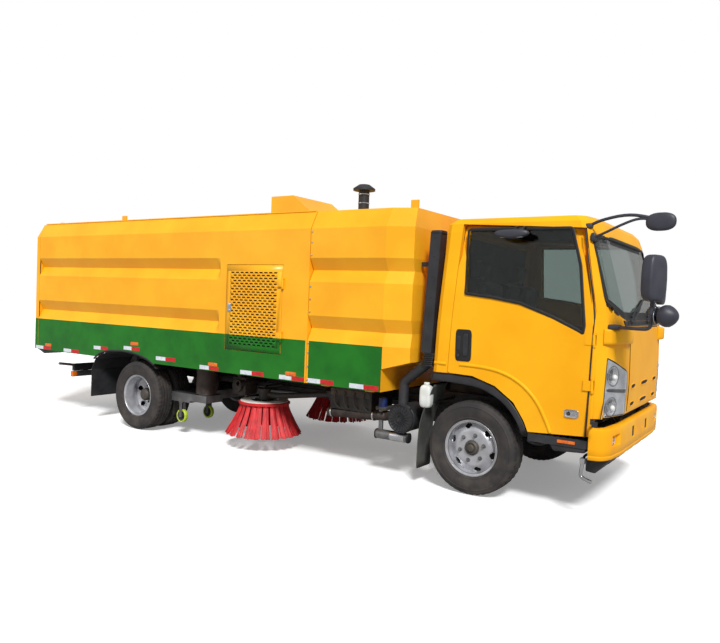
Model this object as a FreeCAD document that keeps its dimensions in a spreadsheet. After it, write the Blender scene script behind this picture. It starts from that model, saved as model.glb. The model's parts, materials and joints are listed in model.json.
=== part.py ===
import FreeCAD, Part
import math
import os
import re
import Sketcher

# Street sweeper truck. Millimetres and degrees. X forward, Y to the left, Z up from the ground.
# Places along X are measured from the front axle, then moved so that the whole truck is centred.
SIZES = {
    # Fits and overruns
    "seat_gap": 0.3, "run_gap": 0.12, "move_gap": 6, "overrun": 10, "skin": 10,
    # Whole truck
    "wheelbase": 4175, "rear_overhang": 2029, "front_reach": 1590,
    # Tyres and rims
    "tyre_radius": 398, "tyre_half_width": 116.5, "tyre_shoulder_drop": 14, "bead_radius": 224,
    "bead_half_width": 85, "rim_half_width": 98, "flange_radius": 237, "flange_thick": 12,
    "barrel_thick": 8, "disc_thick": 12, "front_wheel_y": 840, "rear_wheels_y": 825, "twin_offset": 135,
    "front_disc_out": 66, "disc_knee_radius": 150, "disc_rim_out": 20, "hub_radius": 82,
    "front_hub_out": 112, "front_hub_in": 40, "rear_hub_out": 150, "rear_hub_in": 120,
    "rear_disc_half": 12, "rear_disc_lift": 62,
    # Front axle, knuckles
    "kingpin_y": 730, "kingpin_radius": 20, "spindle_radius": 35, "rear_spindle_radius": 45,
    "beam_half_depth": 40, "beam_eye_reach": 48, "beam_eye_half_height": 45, "beam_low_drop": 98,
    "beam_top_drop": 13, "beam_drop_y": 560, "ear_thick": 30, "ear_radius": 42, "ear_gap": 1,
    "knuckle_plate_y": 776, "knuckle_plate_thick": 18, "spindle_reach": 100,
    # Rear axle
    "axle_tube_radius": 60, "axle_tube_y": 600, "diff_radius": 170, "diff_half_length": 150,
    "rear_spindle_y": 930,
    # Frame
    "rail_top": 780, "rail_height": 190, "rail_y": 425, "rail_flange": 70, "rail_thick": 8,
    "rail_front": 1050, "rail_rear_reach": 1475, "cross_width": 70, "cross_height": 120,
    "cross_front_inset": 152.375, "cross_hind_reach": 605.375, "cross_rear_inset": 76.375,
    # Springs
    "spring_width": 70, "front_spring_y": 390, "rear_spring_y": 466, "spring_thick": 12,
    "front_spring_reach": 600, "rear_spring_reach": 640, "spring_rise": 120, "spring_stack": 50,
    "hanger_half": 30,
    # Engine and driveline
    "engine_front": 180, "engine_rear": 520, "engine_half_width": 300, "engine_low": 430,
    "engine_top": 930, "gearbox_rear": 1050, "gearbox_half_width": 170, "gearbox_top": 720,
    "engine_foot_low": 650, "engine_foot_top": 700, "engine_foot_x": 100, "engine_foot_long": 120,
    "shaft_radius": 35, "shaft_front_z": 560, "shaft_rear_z": 445, "shaft_end_gap": 1.8,
    # Water tank body, in front of the dust bin
    "body_half_width": 1110, "body_low": 800, "body_knee": 2269, "body_top": 2445, "body_shoulder": 96,
    "groove_depth": 62, "groove_low_z": 1205, "groove_low_top": 1447, "groove_high_z": 1765,
    "groove_high_top": 1992, "tank_front": 572, "tank_facet": 812, "tank_facet_inset": 85,
    "tank_rear": 1645, "bearer_height": 19.7, "bearer_width": 90, "tank_notch_low": 1005,
    "tank_notch_high": 1080, "lug_front_x": 600, "lug_height": 72, "lug_long": 75, "lug_thick": 20,
    "lug_inset": 99,
    # Dust bin
    "bin_front": 1655, "bin_side_depth": 80, "bin_floor_z": 930, "bin_floor_thick": 30,
    "bin_roof_thick": 40, "bin_wall": 40, "bin_partition": 2900, "groove_end": 2828,
    "groove_taper": 62, "gate_thick": 60, "runner_y": 395, "runner_half": 30, "runner_low": 786,
    "runner_front": 2960, "runner_rear_reach": 1325, "bin_pivot_reach": 1425, "bin_pivot_z": 800,
    "bin_pivot_radius": 25, "bin_lug_y": 432, "bin_lug_thick": 28, "bin_lug_half": 38,
    "chassis_lug_y": 385, "chassis_lug_thick": 38, "chassis_lug_radius": 31, "pivot_tube_y": 462,
    "arch_rear_reach": 765, "arch_front_reach": 345, "arch_gap": 116, "lip_front_inset": 454,
    "lip_low_inset": 201, "lip_low_z": 752,
    "hood_rear": 2300, "hood_front": 1775, "hood_knee": 2015, "hood_top": 2626, "hood_outer_y": 950,
    "hood_inner_y": 300, "lug_rear_x": 4700,
    # Tailgate
    "gate_hinge_z": 2438, "gate_pin_radius": 12, "gate_low": 806, "gate_lug_half": 25,
    # Service doors
    "service_rear": 2733, "service_front": 1983, "service_low": 1049, "service_top": 1921,
    "service_thick": 30, "hinge_pin_radius": 7, "hinge_sleeve_radius": 11, "hinge_out": 18,
    "hinge_long": 110, "hinge_end": 16,
    # Auxiliary engine
    "aux_front": 1900, "aux_rear": 2600, "aux_half_width": 450, "aux_top": 1480, "aux_low": 780.3,
    # Lift cylinder
    "lift_base_x": 3600, "lift_base_z": 660, "lift_eye_x": 4500, "lift_eye_z": 790,
    "lift_barrel_radius": 50, "lift_bore_radius": 40, "lift_rod_radius": 30, "lift_pin_radius": 22,
    "lift_eye_radius": 36, "lift_eye_half": 30, "lift_ear_thick": 18, "lift_barrel_long": 800,
    "lift_rod_inside": 810, "lift_beam_low": 850, "lift_beam_half": 60, "lift_ear_half": 36,
    # Hose, nozzle and castors
    "hose_x": 3300, "hose_y": 800, "hose_radius": 115, "hose_bore": 101, "hose_low_rise": 10,
    "hose_gap": 8, "nozzle_pipe_radius": 94, "nozzle_pipe_wall": 6, "nozzle_pipe_top": 670,
    "nozzle_front": 3430, "nozzle_rear": 3735, "nozzle_half_width": 921, "nozzle_inner_y": 75,
    "nozzle_low_drop": 19,
    "nozzle_top_rise": 82, "nozzle_wall": 10, "spout_half": 125, "spout_front": 3172, "spout_low_rise": 2,
    "nozzle_rod_radius": 16, "nozzle_rod_y": 470, "nozzle_rod_x": 3485, "nozzle_rod_top": 760,
    "nozzle_barrel_radius": 30, "nozzle_barrel_low": 520, "nozzle_barrel_top": 778,
    "castor_radius": 75, "castor_half": 22, "castor_x": 3585, "castor_outer_y": 890,
    "castor_inner_y": 485, "castor_z": 215, "castor_pin": 10, "fork_thick": 6, "fork_half": 20,
    "bar_half": 30, "bar_thick": 14, "castor_plate_thick": 10,
    # Gutter brushes
    "brush_x": 2520, "brush_y": 700, "brush_disc_radius": 275, "brush_disc_top": 500,
    "brush_disc_thick": 40, "bristle_tip_radius": 415,
    "bristle_low": 140, "bristle_inner_root": 170, "bristle_inner_tip": 300, "brush_shaft": 20,
    "brush_hub_radius": 60, "motor_radius": 62, "motor_top": 620, "arm_pivot_x": 1700,
    "arm_pivot_y": 600, "arm_pivot_z": 640, "arm_tilt": 31, "arm_pin_radius": 22,
    "arm_boss_radius": 48, "arm_boss_half": 45, "arm_strut_high": 69,
    "arm_strut_low": 50, "arm_strut_thick": 16, "arm_tube_radius": 30, "arm_lug_thick": 24,
    # Rear bars and mudguards
    "underrun_reach": 1425, "underrun_half": 960, "underrun_low": 475, "underrun_high": 545,
    "underrun_thick": 40, "tube_set_back": 90, "tube_z": 590, "tube_radius": 17, "tube_end_y": 1085,
    "tube_end_z": 645, "tube_bend_y": 700, "tube_bend": 120, "drop_arm_y": 390, "drop_arm_half": 30,
    "guard_inner_y": 560, "guard_outer_y": 1100, "guard_thick": 6, "guard_gap": 16, "flap_reach": 815,
    "flap_low": 300, "guard_front_z": 740,
    # Tanks on the frame
    "fuel_front": 760, "fuel_rear": 1460, "fuel_inner_y": 500, "fuel_outer_y": 960, "fuel_low": 350,
    "fuel_top": 740, "hydraulic_front": 1030, "hydraulic_rear": 1500, "hydraulic_inner_y": 520,
    "hydraulic_outer_y": 900, "hydraulic_low": 560, "hydraulic_top": 780, "reservoir_radius": 44,
    "reservoir_front": 640, "reservoir_rear": 960, "reservoir_y": 880, "reservoir_z": 382,
    "strap_half": 25,
    # Air intake
    "cleaner_x": 690, "cleaner_y": 900, "cleaner_z": 560, "cleaner_radius": 128, "cleaner_long": 300,
    "snorkel_front": 350, "snorkel_depth": 100, "snorkel_y": 840, "snorkel_width": 120,
    "snorkel_low": 1174, "snorkel_top": 2229, "snorkel_lean": 50, "duct_radius": 45,
    # Cab outline
    "cab_low": 614, "cab_height": 1736, "cab_half_width": 993, "cab_length": 1549, "cab_front": 1160,
    "cab_wall": 45, "glass_set_in": 8, "glass_thick": 6, "panel_low": 795, "panel_notch_x": 1000,
    "roof_split_z": 2212, "nose_split_z": 1515, "rear_split_x": 100, "door_gap": 5,
    "side_split_y": 500, "pane_gap": 0.4,
    # Cab floor
    "floor_rear_z": 1060, "floor_front_z": 700, "floor_thick": 30, "floor_knee_x": 260,
    "floor_foot_x": 560, "floor_front_x": 960, "floor_side_inset": 98, "floor_rear_x": 365.5,
    "tunnel_y": 500,
    # Cab pivot
    "cab_pivot_x": 1020, "cab_pivot_z": 680, "cab_pivot_radius": 30, "cab_arm_y": 440,
    "cab_arm_thick": 26, "cab_arm_half": 42, "cab_arm_neck": 12,
    # Cab fittings
    "dash_rear": 780, "dash_front": 1010, "dash_low": 1080, "dash_top": 1440, "dash_side_inset": 113,
    "dash_mount_x": 1105.4,
    "column_radius": 14, "steer_x": 690, "steer_y": 460, "steer_z": 1500, "steer_lean": 28,
    "steer_radius": 205, "steer_grip": 15, "steer_hub": 50, "steer_hub_long": 60, "column_long": 330,
    "seat_rear": 140, "seat_front": 420, "seat_low": 1150, "seat_top": 1290, "seat_back_top": 1860,
    "seat_back_thick": 130, "seat_half_width": 240, "seat_y": 470, "seat_back_lean": 90,
    "middle_seat_half": 190,
    # Mirrors
    "mirror_reach_out": 247, "mirror_head_thick": 70, "mirror_head_wide": 190, "mirror_head_low": 1678,
    "mirror_head_high": 2008, "mirror_head_x": 1414, "mirror_head_out": 152, "mirror_yaw": 23,
    "round_mirror_x": 1510, "round_mirror_z": 1583, "round_mirror_radius": 80,
    "mirror_rod_radius": 13, "mirror_foot_x": 1105, "mirror_foot_inset": 35, "mirror_arm_z": 1482,
    "mirror_stalk_x": 1400, "mirror_stalk_out": 112, "high_head_x": 1310, "high_head_long": 212,
    "high_head_low": 2186, "high_head_high": 2321, "high_head_out": 7,
    "high_foot_x": 860, "high_foot_z": 2240, "high_foot_inset": 103, "look_front": 462, "look_rear": 173,
    "look_low": 2153, "look_high": 2230, "look_thick": 90, "look_foot_x": 365, "look_foot_inset": 78,
    "look_foot_z": 2239,
    "left_mirror_x": 1000, "mirror_round": 20,
    # Steps and bumper
    "step_rear": 504, "step_front": 971, "step_low": 543, "step_top": 606, "step_outer_inset": 13,
    "step_inner_inset": 193, "bumper_low": 468, "bumper_top": 712, "bumper_front": 1150,
    "bumper_wing_x": 981, "bumper_wing_out": 12, "bumper_wing_inset": 6, "bumper_thick": 70,
    "bumper_horn_y": 390, "bumper_horn_half": 35, "valance_front": 1020, "valance_rear": 940,
    "valance_low": 350, "valance_top": 450, "tow_radius": 18, "tow_y": 270, "tow_z": 595,
    "plate_bolt_radius": 4, "plate_bolt_half": 105,
    # Exhaust stack
    "stack_x": 1537, "stack_y": 400, "stack_radius": 55, "stack_cap_radius": 113, "stack_top": 2788,
    "stack_cap_thick": 60,
}

# Sizes worked out from the others
WORKED_OUT = {
    "front_axle_x": "(wheelbase + rear_overhang - front_reach) / 2",
    "body_rear": "wheelbase + rear_overhang",
    "rail_low": "rail_top - rail_height",
    "rail_inner_y": "rail_y - rail_flange",
    "beam_low": "tyre_radius - beam_low_drop",
    "beam_top": "tyre_radius - beam_top_drop",
    "rail_rear": "wheelbase + rail_rear_reach",
    "runner_rear": "wheelbase + runner_rear_reach",
    "bin_pivot_x": "wheelbase + bin_pivot_reach",
    "arch_rear_x": "wheelbase + arch_rear_reach",
    "arch_front_x": "wheelbase - arch_front_reach",
    "arch_top_z": "2 * tyre_radius + arch_gap",
    "lip_front_x": "body_rear - lip_front_inset",
    "lip_low_x": "body_rear - lip_low_inset",
    "underrun_x": "wheelbase + underrun_reach",
    "tube_x": "underrun_x + tube_set_back",
    "flap_x": "wheelbase + flap_reach",
    "body_top_y": "body_half_width - body_shoulder",
    "tank_facet_y": "body_half_width - tank_facet_inset",
    "lug_y": "body_top_y - lug_inset",
    "bin_inner_y": "body_half_width - bin_side_depth",
    "mirror_reach_y": "cab_half_width + mirror_reach_out",
    "mirror_head_y": "cab_half_width + mirror_head_out",
    "mirror_foot_y": "cab_half_width - mirror_foot_inset",
    "mirror_stalk_y": "cab_half_width + mirror_stalk_out",
    "high_head_y": "cab_half_width + high_head_out",
    "high_foot_y": "cab_half_width - high_foot_inset",
    "look_foot_y": "cab_half_width - look_foot_inset",
    "step_outer_y": "cab_half_width - step_outer_inset",
    "step_inner_y": "cab_half_width - step_inner_inset",
    "bumper_wing_y": "cab_half_width + bumper_wing_out",
    "bumper_wing_inner": "cab_half_width - bumper_wing_inset",
    "floor_half_width": "cab_half_width - floor_side_inset",
    "dash_half_width": "cab_half_width - dash_side_inset",
    "nozzle_top": "tyre_radius + nozzle_top_rise",
    "nozzle_low": "tyre_radius - nozzle_low_drop",
    "spout_low": "tyre_radius + spout_low_rise",
    "hose_low": "nozzle_top + hose_low_rise",
}

# Corners of the cab outline: share of the height, of the half width, set back of the front, pull in
# of the front corner, and move of the rear, all as shares of the sizes
CAB_LEVEL_SHARES = (
    (0, 0.983, 0.006, 1, 0),
    (0.104, 0.985, 0.006, 1, 0.006),
    (0.24, 0.992, 0, 1, 0.014),
    (0.474, 1, 0.006, 1, 0.028),
    (0.519, 0.997, 0.011, 1, 0.031),
    (0.586, 0.992, 0.028, 0.95, 0.035),
    (0.922, 0.949, 0.135, 0.6, 0.055),
    (0.965, 0.939, 0.152, 0.6, 0.058),
    (0.991, 0.906, 0.181, 0.6, 0.097),
    (1, 0.785, 0.245, 0.6, 0.187),
)
# Half of one outline seen from above: share of the half width, set back as a share of the length
CAB_CORNER_SHARES = ((1, 0.107), (0.95, 0.048), (0.87, 0.026), (0.68, 0))
REAR_CORNER_SHARE = 0.026

# Side door outline, front window outline and wheel arch, as shares of cab length and height,
# measured back from the nose and up from the low edge; the last two numbers point outwards
DOOR_SHARES = (
    (0.188, 0.930, 1, 1), (0.114, 0.568, 1, 0), (0.132, 0.01, 1, -1), (0.132, -0.1, 1, -1),
    (0.47, -0.1, -1, -1), (0.450, 0.049, -1, -1), (0.509, 0.127, -1, -1), (0.614, 0.194, -1, -1),
    (0.745, 0.231, -1, -1),
    (0.879, 0.235, 0, -1), (0.892, 0.239, -1, -1), (0.845, 0.961, -1, 1),
)
SIDE_WINDOW_SHARES = (
    (0.814, 0.935), (0.251, 0.932), (0.198, 0.764), (0.162, 0.503), (0.167, 0.468),
    (0.320, 0.532), (0.495, 0.589), (0.650, 0.612), (0.806, 0.627),
)
ARCH_SHARES = (
    (1.2, 0.228), (0.879, 0.2345), (0.745, 0.231), (0.614, 0.1935), (0.509, 0.127),
    (0.450, 0.049), (0.4253, 0), (0.132, 0.0144), (0.08, 0.017), (0.08, -0.4), (1.2, -0.4),
)
WINDSCREEN_SHARES = ((0.895, 0.905), (0.93, 0.59), (0.67, 0.5285))
HEADLIGHT_SHARES = ((0.619, 0.297), (1.1, 0.398), (1.1, 0.107), (0.619, 0.1045))
FLOOR_ARCH_SHARES = ((0, 0), (0.1, 0.5), (0.26, 0.85), (0.49, 1), (0.71, 0.85), (0.89, 0.45), (1, 0))
CROSS_MEMBER_SHARES = (0.275, 0.49, 0.69)
TANK_LEVELS = (
    ("body_low", "0"), ("groove_low_z", "0"), ("(groove_low_z + groove_low_top) / 2", "groove_depth"),
    ("groove_low_top", "0"), ("groove_high_z", "0"),
    ("(groove_high_z + groove_high_top) / 2", "groove_depth"), ("groove_high_top", "0"),
    ("body_knee", "0"), ("body_top", "body_half_width - body_top_y"),
)

doc = FreeCAD.newDocument("street_sweeper")
sheet = doc.addObject("Spreadsheet::Sheet", "sizes")
pieces = {}


def fill_sheet():
    """Write every size and its name into the sheet."""
    row = 0
    for name, value in SIZES.items():
        row += 1
        sheet.set("A%d" % row, name)
        sheet.set("B%d" % row, str(value))
        sheet.setAlias("B%d" % row, name)
    doc.recompute()
    for name, formula in WORKED_OUT.items():
        row += 1
        sheet.set("A%d" % row, name)
        sheet.set("B%d" % row, "=" + formula)
        sheet.setAlias("B%d" % row, name)
    doc.recompute()


def tied(text):
    """An expression over the sheet from one written in plain size names."""
    known = lambda word: word in SIZES or word in WORKED_OUT
    return re.sub(r"[a-z][a-z0-9_]*", lambda m: "sizes." + m[0] if known(m[0]) else m[0], str(text))


def number(text):
    """The present value of an expression written in size names."""
    value = sheet.evalExpression(tied(text))
    return float(getattr(value, "Value", value))


def bind(item, field, text):
    item.setExpression(field, tied(text))


def place(item, x="0", y="0", z="0"):
    """Tie a piece's place to the sheet, with X counted from the front axle."""
    bind(item, "Placement.Base.x", "front_axle_x + (%s)" % x)
    bind(item, "Placement.Base.y", y)
    bind(item, "Placement.Base.z", z)


def box(label, x, y, z):
    """A box between two places along each direction."""
    item = doc.addObject("Part::Box", "box")
    item.Label = label
    for field, (low, high) in zip(("Length", "Width", "Height"), (x, y, z)):
        bind(item, field, "(%s) - (%s)" % (high, low))
    place(item, x[0], y[0], z[0])
    return item


AXIS_TURNS = {"X": ((0, 1, 0), 90), "Y": ((1, 0, 0), -90), "Z": ((0, 0, 1), 0)}


def rod(label, axis, start, radius, length):
    """A round bar from a start place along one axis."""
    item = doc.addObject("Part::Cylinder", "rod")
    item.Label = label
    bind(item, "Radius", radius)
    bind(item, "Height", length)
    direction, angle = AXIS_TURNS[axis]
    item.Placement = FreeCAD.Placement(FreeCAD.Vector(),
                                       FreeCAD.Rotation(FreeCAD.Vector(*direction), angle))
    place(item, *start)
    return item


def origin_plane(body, role):
    return next(item for item in body.Origin.OriginFeatures if item.Role == role)


def outline(sketch, points):
    """A closed outline whose corners are tied to the sheet."""
    corners = [FreeCAD.Vector(number(a), number(b), 0) for a, b in points]
    count = len(corners)
    for index in range(count):
        sketch.addGeometry(Part.LineSegment(corners[index], corners[(index + 1) % count]), False)
    for index in range(count):
        sketch.addConstraint(Sketcher.Constraint("Coincident", index, 2, (index + 1) % count, 1))
    for index, (across, along) in enumerate(points):
        for kind, text, value in (("DistanceX", across, corners[index].x),
                                  ("DistanceY", along, corners[index].y)):
            rule = sketch.addConstraint(Sketcher.Constraint(kind, -1, 1, index, 1, value))
            bind(sketch, "Constraints[%d]" % rule, text)


def sketch_on(body, plane, offset, points):
    sketch = body.newObject("Sketcher::SketchObject", "outline")
    sketch.AttachmentSupport = [(origin_plane(body, plane + "_Plane"), "")]
    sketch.MapMode = "FlatFace"
    bind(sketch, "AttachmentOffset.Base.z", offset)
    outline(sketch, points)
    return sketch


def plate(label, plane, low, high, points):
    """An outline drawn on a plane and padded between two places across it."""
    body = doc.addObject("PartDesign::Body", "plate")
    body.Label = label
    start = "-(%s)" % high if plane == "XZ" else low
    sketch = sketch_on(body, plane, start, points)
    pad = body.newObject("PartDesign::Pad", "pad")
    pad.Profile = sketch
    bind(pad, "Length", "(%s) - (%s)" % (high, low))
    body.Tip = pad
    place(body)
    return body


def layered(label, plane, levels):
    """Outlines at several heights joined by flat facets."""
    body = doc.addObject("PartDesign::Body", "layers")
    body.Label = label
    sketches = [sketch_on(body, plane, offset, points) for offset, points in levels]
    loft = body.newObject("PartDesign::AdditiveLoft", "loft")
    loft.Profile = sketches[0]
    loft.Sections = sketches[1:]
    loft.Ruled = True
    body.Tip = loft
    place(body)
    return body


def turned(label, axis, centre, profile):
    """A profile of (radius, place along the axis) turned round an axis through the centre."""
    body = doc.addObject("PartDesign::Body", "turned")
    body.Label = label
    sketch = sketch_on(body, "XY" if axis == "Y" else "XZ", "0", profile)
    turn = body.newObject("PartDesign::Revolution", "turn")
    turn.Profile = sketch
    turn.ReferenceAxis = (sketch, ["V_Axis"])
    turn.Angle = 360
    body.Tip = turn
    place(body, *centre)
    return body


def joined(label, items):
    item = doc.addObject("Part::MultiFuse", "joined")
    item.Label = label
    item.Shapes = items
    return item


def grouped(label, items):
    item = doc.addObject("Part::Compound", "group")
    item.Label = label
    item.Links = items
    return item


def cut(label, base, tools):
    """A solid with one or more tools taken out."""
    item = doc.addObject("Part::Cut", "cut")
    item.Label = label
    item.Base = base
    item.Tool = tools[0] if len(tools) == 1 else joined(label + " tools", tools)
    return item


def shared(label, first, second):
    item = doc.addObject("Part::Common", "shared")
    item.Label = label
    item.Base = first
    item.Tool = second
    return item


def mirrored(label, source):
    """The same piece on the other side of the truck."""
    item = doc.addObject("Part::Mirroring", "mirrored")
    item.Label = label
    item.Source = source
    item.Base = FreeCAD.Vector(0, 0, 0)
    item.Normal = FreeCAD.Vector(0, 1, 0)
    return item


def ring(label, axis, start, outer, inner, length):
    """A round tube from a start place along one axis."""
    whole = rod(label + " wall", axis, start, outer, length)
    shift = [text if letter != axis else "(%s) - overrun" % text for letter, text in zip("XYZ", start)]
    hole = rod(label + " bore", axis, shift, inner, "(%s) + 2 * overrun" % length)
    return cut(label, whole, [hole])


def vector(point):
    return FreeCAD.Vector(*(number(text) for text in point))


def routed(label, points, radius, bend):
    """A round bar along straight runs with a tangent arc at each corner."""
    stops = [vector(point) for point in points]
    edges = []
    start = stops[0]
    for before, corner, after in zip(stops, stops[1:], stops[2:]):
        inward = (before - corner).normalize()
        outward = (after - corner).normalize()
        half = inward.getAngle(outward) / 2
        back = number(bend) / math.tan(half)
        first = corner + inward * back
        last = corner + outward * back
        middle = (inward + outward).normalize()
        centre = corner + middle * (number(bend) / math.sin(half))
        top = centre - middle * number(bend)
        edges.append(Part.LineSegment(start, first).toShape())
        edges.append(Part.Arc(first, top, last).toShape())
        start = last
    edges.append(Part.LineSegment(start, stops[-1]).toShape())
    path = Part.Wire(edges)
    circle = Part.makeCircle(number(radius), stops[0], stops[1] - stops[0])
    item = doc.addObject("Part::Feature", "routed")
    item.Label = label
    item.Shape = path.makePipeShell([Part.Wire([circle])], True, False)
    item.Placement = FreeCAD.Placement(vector(("front_axle_x", "0", "0")), FreeCAD.Rotation())
    return item


def leaning_rod(label, start, direction, radius, low, high):
    """A round bar along a leaning direction, between two places along it."""
    item = doc.addObject("Part::Feature", "leaning")
    item.Label = label
    base = vector(start) + direction * number(low)
    item.Shape = Part.makeCylinder(number(radius), number(high) - number(low), base, direction)
    item.Placement = FreeCAD.Placement(vector(("front_axle_x", "0", "0")), FreeCAD.Rotation())
    return item


def keep(node, item):
    """Record a finished piece under its node name."""
    item.Label = node
    pieces[node] = item


def keep_pair(name, item):
    keep("right_" + name, item)
    keep("left_" + name, mirrored("left " + name, item))


def both_sides(label, item):
    return [item, mirrored(label + ", left", item)]


# Wheels
def tyre(label, x, y):
    """One tyre centred on its rim, open where the rim passes."""
    half = [
        ("bead_radius", "bead_half_width"), ("flange_radius + skin", "bead_half_width + 2 * run_gap"),
        ("flange_radius + 4 * skin", "tyre_half_width - skin / 2"),
        ("(flange_radius + tyre_radius) / 2", "tyre_half_width"),
        ("tyre_radius - 3 * skin", "tyre_half_width - skin"),
        ("tyre_radius - tyre_shoulder_drop / 2", "tyre_half_width - 2 * tyre_shoulder_drop"),
        ("tyre_radius", "tyre_half_width - 3 * tyre_shoulder_drop"),
    ]
    profile = half + [(radius, "-(%s)" % out) for radius, out in reversed(half)]
    return turned(label, "Y", (x, y, "tyre_radius"), profile)


def rim(label, x, y, disc):
    """A rim barrel with its disc; disc is a list of (radius, out) from the barrel in and back."""
    bore = "bead_radius - run_gap - barrel_thick"
    seat = "bead_radius - run_gap"
    profile = [
        ("flange_radius", "-rim_half_width"), ("flange_radius", "-(rim_half_width - flange_thick)"),
        (seat, "-(rim_half_width - flange_thick)"), (seat, "rim_half_width - flange_thick"),
        ("flange_radius", "rim_half_width - flange_thick"), ("flange_radius", "rim_half_width"),
        (bore, "rim_half_width"),
    ] + disc + [(bore, "-rim_half_width")]
    return turned(label, "Y", (x, y, "tyre_radius"), profile)


def front_wheel():
    """Rim, hub and tyre of the right front wheel, outward being minus Y."""
    bore = "bead_radius - run_gap - barrel_thick"
    disc = [
        (bore, "-(disc_rim_out - disc_thick)"), ("disc_knee_radius", "-(front_disc_out - disc_thick)"),
        ("hub_radius - skin", "-(front_disc_out - disc_thick)"), ("hub_radius - skin", "-front_disc_out"),
        ("disc_knee_radius", "-front_disc_out"), (bore, "-(disc_rim_out + disc_thick)"),
    ]
    shell = rim("front rim shell", "0", "-front_wheel_y", disc)
    hub = rod("front hub", "Y", ("0", "-(front_wheel_y + front_hub_out)", "tyre_radius"), "hub_radius",
              "front_hub_out + front_hub_in")
    bore_hole = rod("front hub bore", "Y", ("0", "-(kingpin_y + spindle_reach + 2 * skin)", "tyre_radius"),
                    "spindle_radius", "spindle_reach")
    keep_pair("front_rim", cut("front rim", joined("front rim and hub", [shell, hub]), [bore_hole]))
    keep_pair("front_tyre", tyre("front tyre", "0", "-front_wheel_y"))


def rear_wheels():
    """Twin rims on one hub, with their two tyres."""
    bore = "bead_radius - run_gap - barrel_thick"
    outer = [
        (bore, "twin_offset - rear_disc_lift + rear_disc_half"), ("disc_knee_radius", "twin_offset"),
        ("hub_radius - skin", "twin_offset"), ("hub_radius - skin", "twin_offset - rear_disc_half"),
        ("disc_knee_radius", "twin_offset - rear_disc_half"), (bore, "twin_offset - rear_disc_lift"),
    ]
    inner = [(radius, "-(%s)" % out) for radius, out in reversed(outer)]
    far = rim("outer rear rim", "-wheelbase", "-(rear_wheels_y + twin_offset)", outer)
    near = rim("inner rear rim", "-wheelbase", "-(rear_wheels_y - twin_offset)", inner)
    hub = rod("rear hub", "Y", ("-wheelbase", "-(rear_wheels_y + rear_hub_out)", "tyre_radius"),
              "hub_radius", "rear_hub_out + rear_hub_in")
    bore_hole = rod("rear hub bore", "Y", ("-wheelbase", "-rear_spindle_y", "tyre_radius"),
                    "rear_spindle_radius", "rear_spindle_y")
    keep_pair("rear_rims", cut("rear rims", joined("rear rims and hub", [far, near, hub]), [bore_hole]))
    tyres = [tyre("outer rear tyre", "-wheelbase", "-(rear_wheels_y + twin_offset)"),
             tyre("inner rear tyre", "-wheelbase", "-(rear_wheels_y - twin_offset)")]
    keep_pair("rear_tyres", grouped("rear tyres", tyres))


# Axles
def front_axle():
    """Drop beam with a round eye at each kingpin."""
    half = [
        ("kingpin_y", "tyre_radius + beam_eye_half_height"),
        ("kingpin_y - beam_eye_reach", "tyre_radius + beam_eye_half_height"),
        ("beam_drop_y", "beam_top"),
    ]
    low = [
        ("beam_drop_y", "beam_low"), ("kingpin_y - beam_eye_reach", "tyre_radius - beam_eye_half_height"),
        ("kingpin_y", "tyre_radius - beam_eye_half_height"),
    ]
    points = half + [("-(%s)" % y, z) for y, z in reversed(half)]
    points += [("-(%s)" % y, z) for y, z in reversed(low)] + low
    beam = plate("axle beam", "YZ", "-beam_half_depth", "beam_half_depth", points)
    reach = "beam_eye_half_height + ear_gap + ear_thick"
    pin = rod("kingpin", "Z", ("0", "-kingpin_y", "tyre_radius - (%s)" % reach), "kingpin_radius",
              "2 * (%s)" % reach)
    eye = rod("beam eye", "Z", ("0", "-kingpin_y", "tyre_radius - beam_eye_half_height"), "beam_half_depth",
              "2 * beam_eye_half_height")
    ends = both_sides("kingpin", pin) + both_sides("beam eye", eye)
    keep("front_axle", joined("front axle", [beam] + ends))


def knuckle():
    """Fork round the kingpin with the wheel spindle."""
    ears = []
    for label, low in (("upper ear", "tyre_radius + beam_eye_half_height + ear_gap"),
                       ("lower ear", "tyre_radius - beam_eye_half_height - ear_gap - ear_thick")):
        ears.append(rod(label, "Z", ("0", "-kingpin_y", low), "ear_radius", "ear_thick"))
        ears.append(box(label + " web", ("-ear_radius", "ear_radius"),
                        ("-(knuckle_plate_y + knuckle_plate_thick / 2)", "-kingpin_y"),
                        (low, "(%s) + ear_thick" % low)))
    reach = "beam_eye_half_height + ear_gap + ear_thick"
    back = box("knuckle back", ("-ear_radius", "ear_radius"),
               ("-(knuckle_plate_y + knuckle_plate_thick)", "-knuckle_plate_y"),
               ("tyre_radius - (%s)" % reach, "tyre_radius + %s" % reach))
    spindle = rod("spindle", "Y", ("0", "-(kingpin_y + spindle_reach)", "tyre_radius"),
                  "spindle_radius - run_gap", "spindle_reach - knuckle_plate_y + kingpin_y - skin")
    bore_hole = rod("kingpin bore", "Z", ("0", "-kingpin_y", "tyre_radius - 2 * (%s)" % reach),
                    "kingpin_radius + run_gap", "4 * (%s)" % reach)
    keep_pair("knuckle", cut("knuckle", joined("knuckle body", ears + [back, spindle]), [bore_hole]))


def rear_axle():
    tube = rod("axle tube", "Y", ("-wheelbase", "-axle_tube_y", "tyre_radius"), "axle_tube_radius",
               "2 * axle_tube_y")
    case = turned("axle case", "Y", ("-wheelbase", "0", "tyre_radius"), [
        ("0", "-diff_half_length"), ("axle_tube_radius + skin", "-diff_half_length"),
        ("diff_radius", "-diff_half_length / 2"), ("diff_radius", "diff_half_length / 2"),
        ("axle_tube_radius + skin", "diff_half_length"), ("0", "diff_half_length")])
    spindles = rod("rear spindles", "Y", ("-wheelbase", "-(rear_spindle_y - skin)", "tyre_radius"),
                   "rear_spindle_radius - run_gap", "2 * (rear_spindle_y - skin)")
    nose = rod("axle nose", "X", ("-wheelbase", "0", "tyre_radius + seat_gap"), "axle_tube_radius",
               "diff_radius + 5 * skin")
    keep("rear_axle", joined("rear axle", [tube, case, spindles, nose]))


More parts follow.
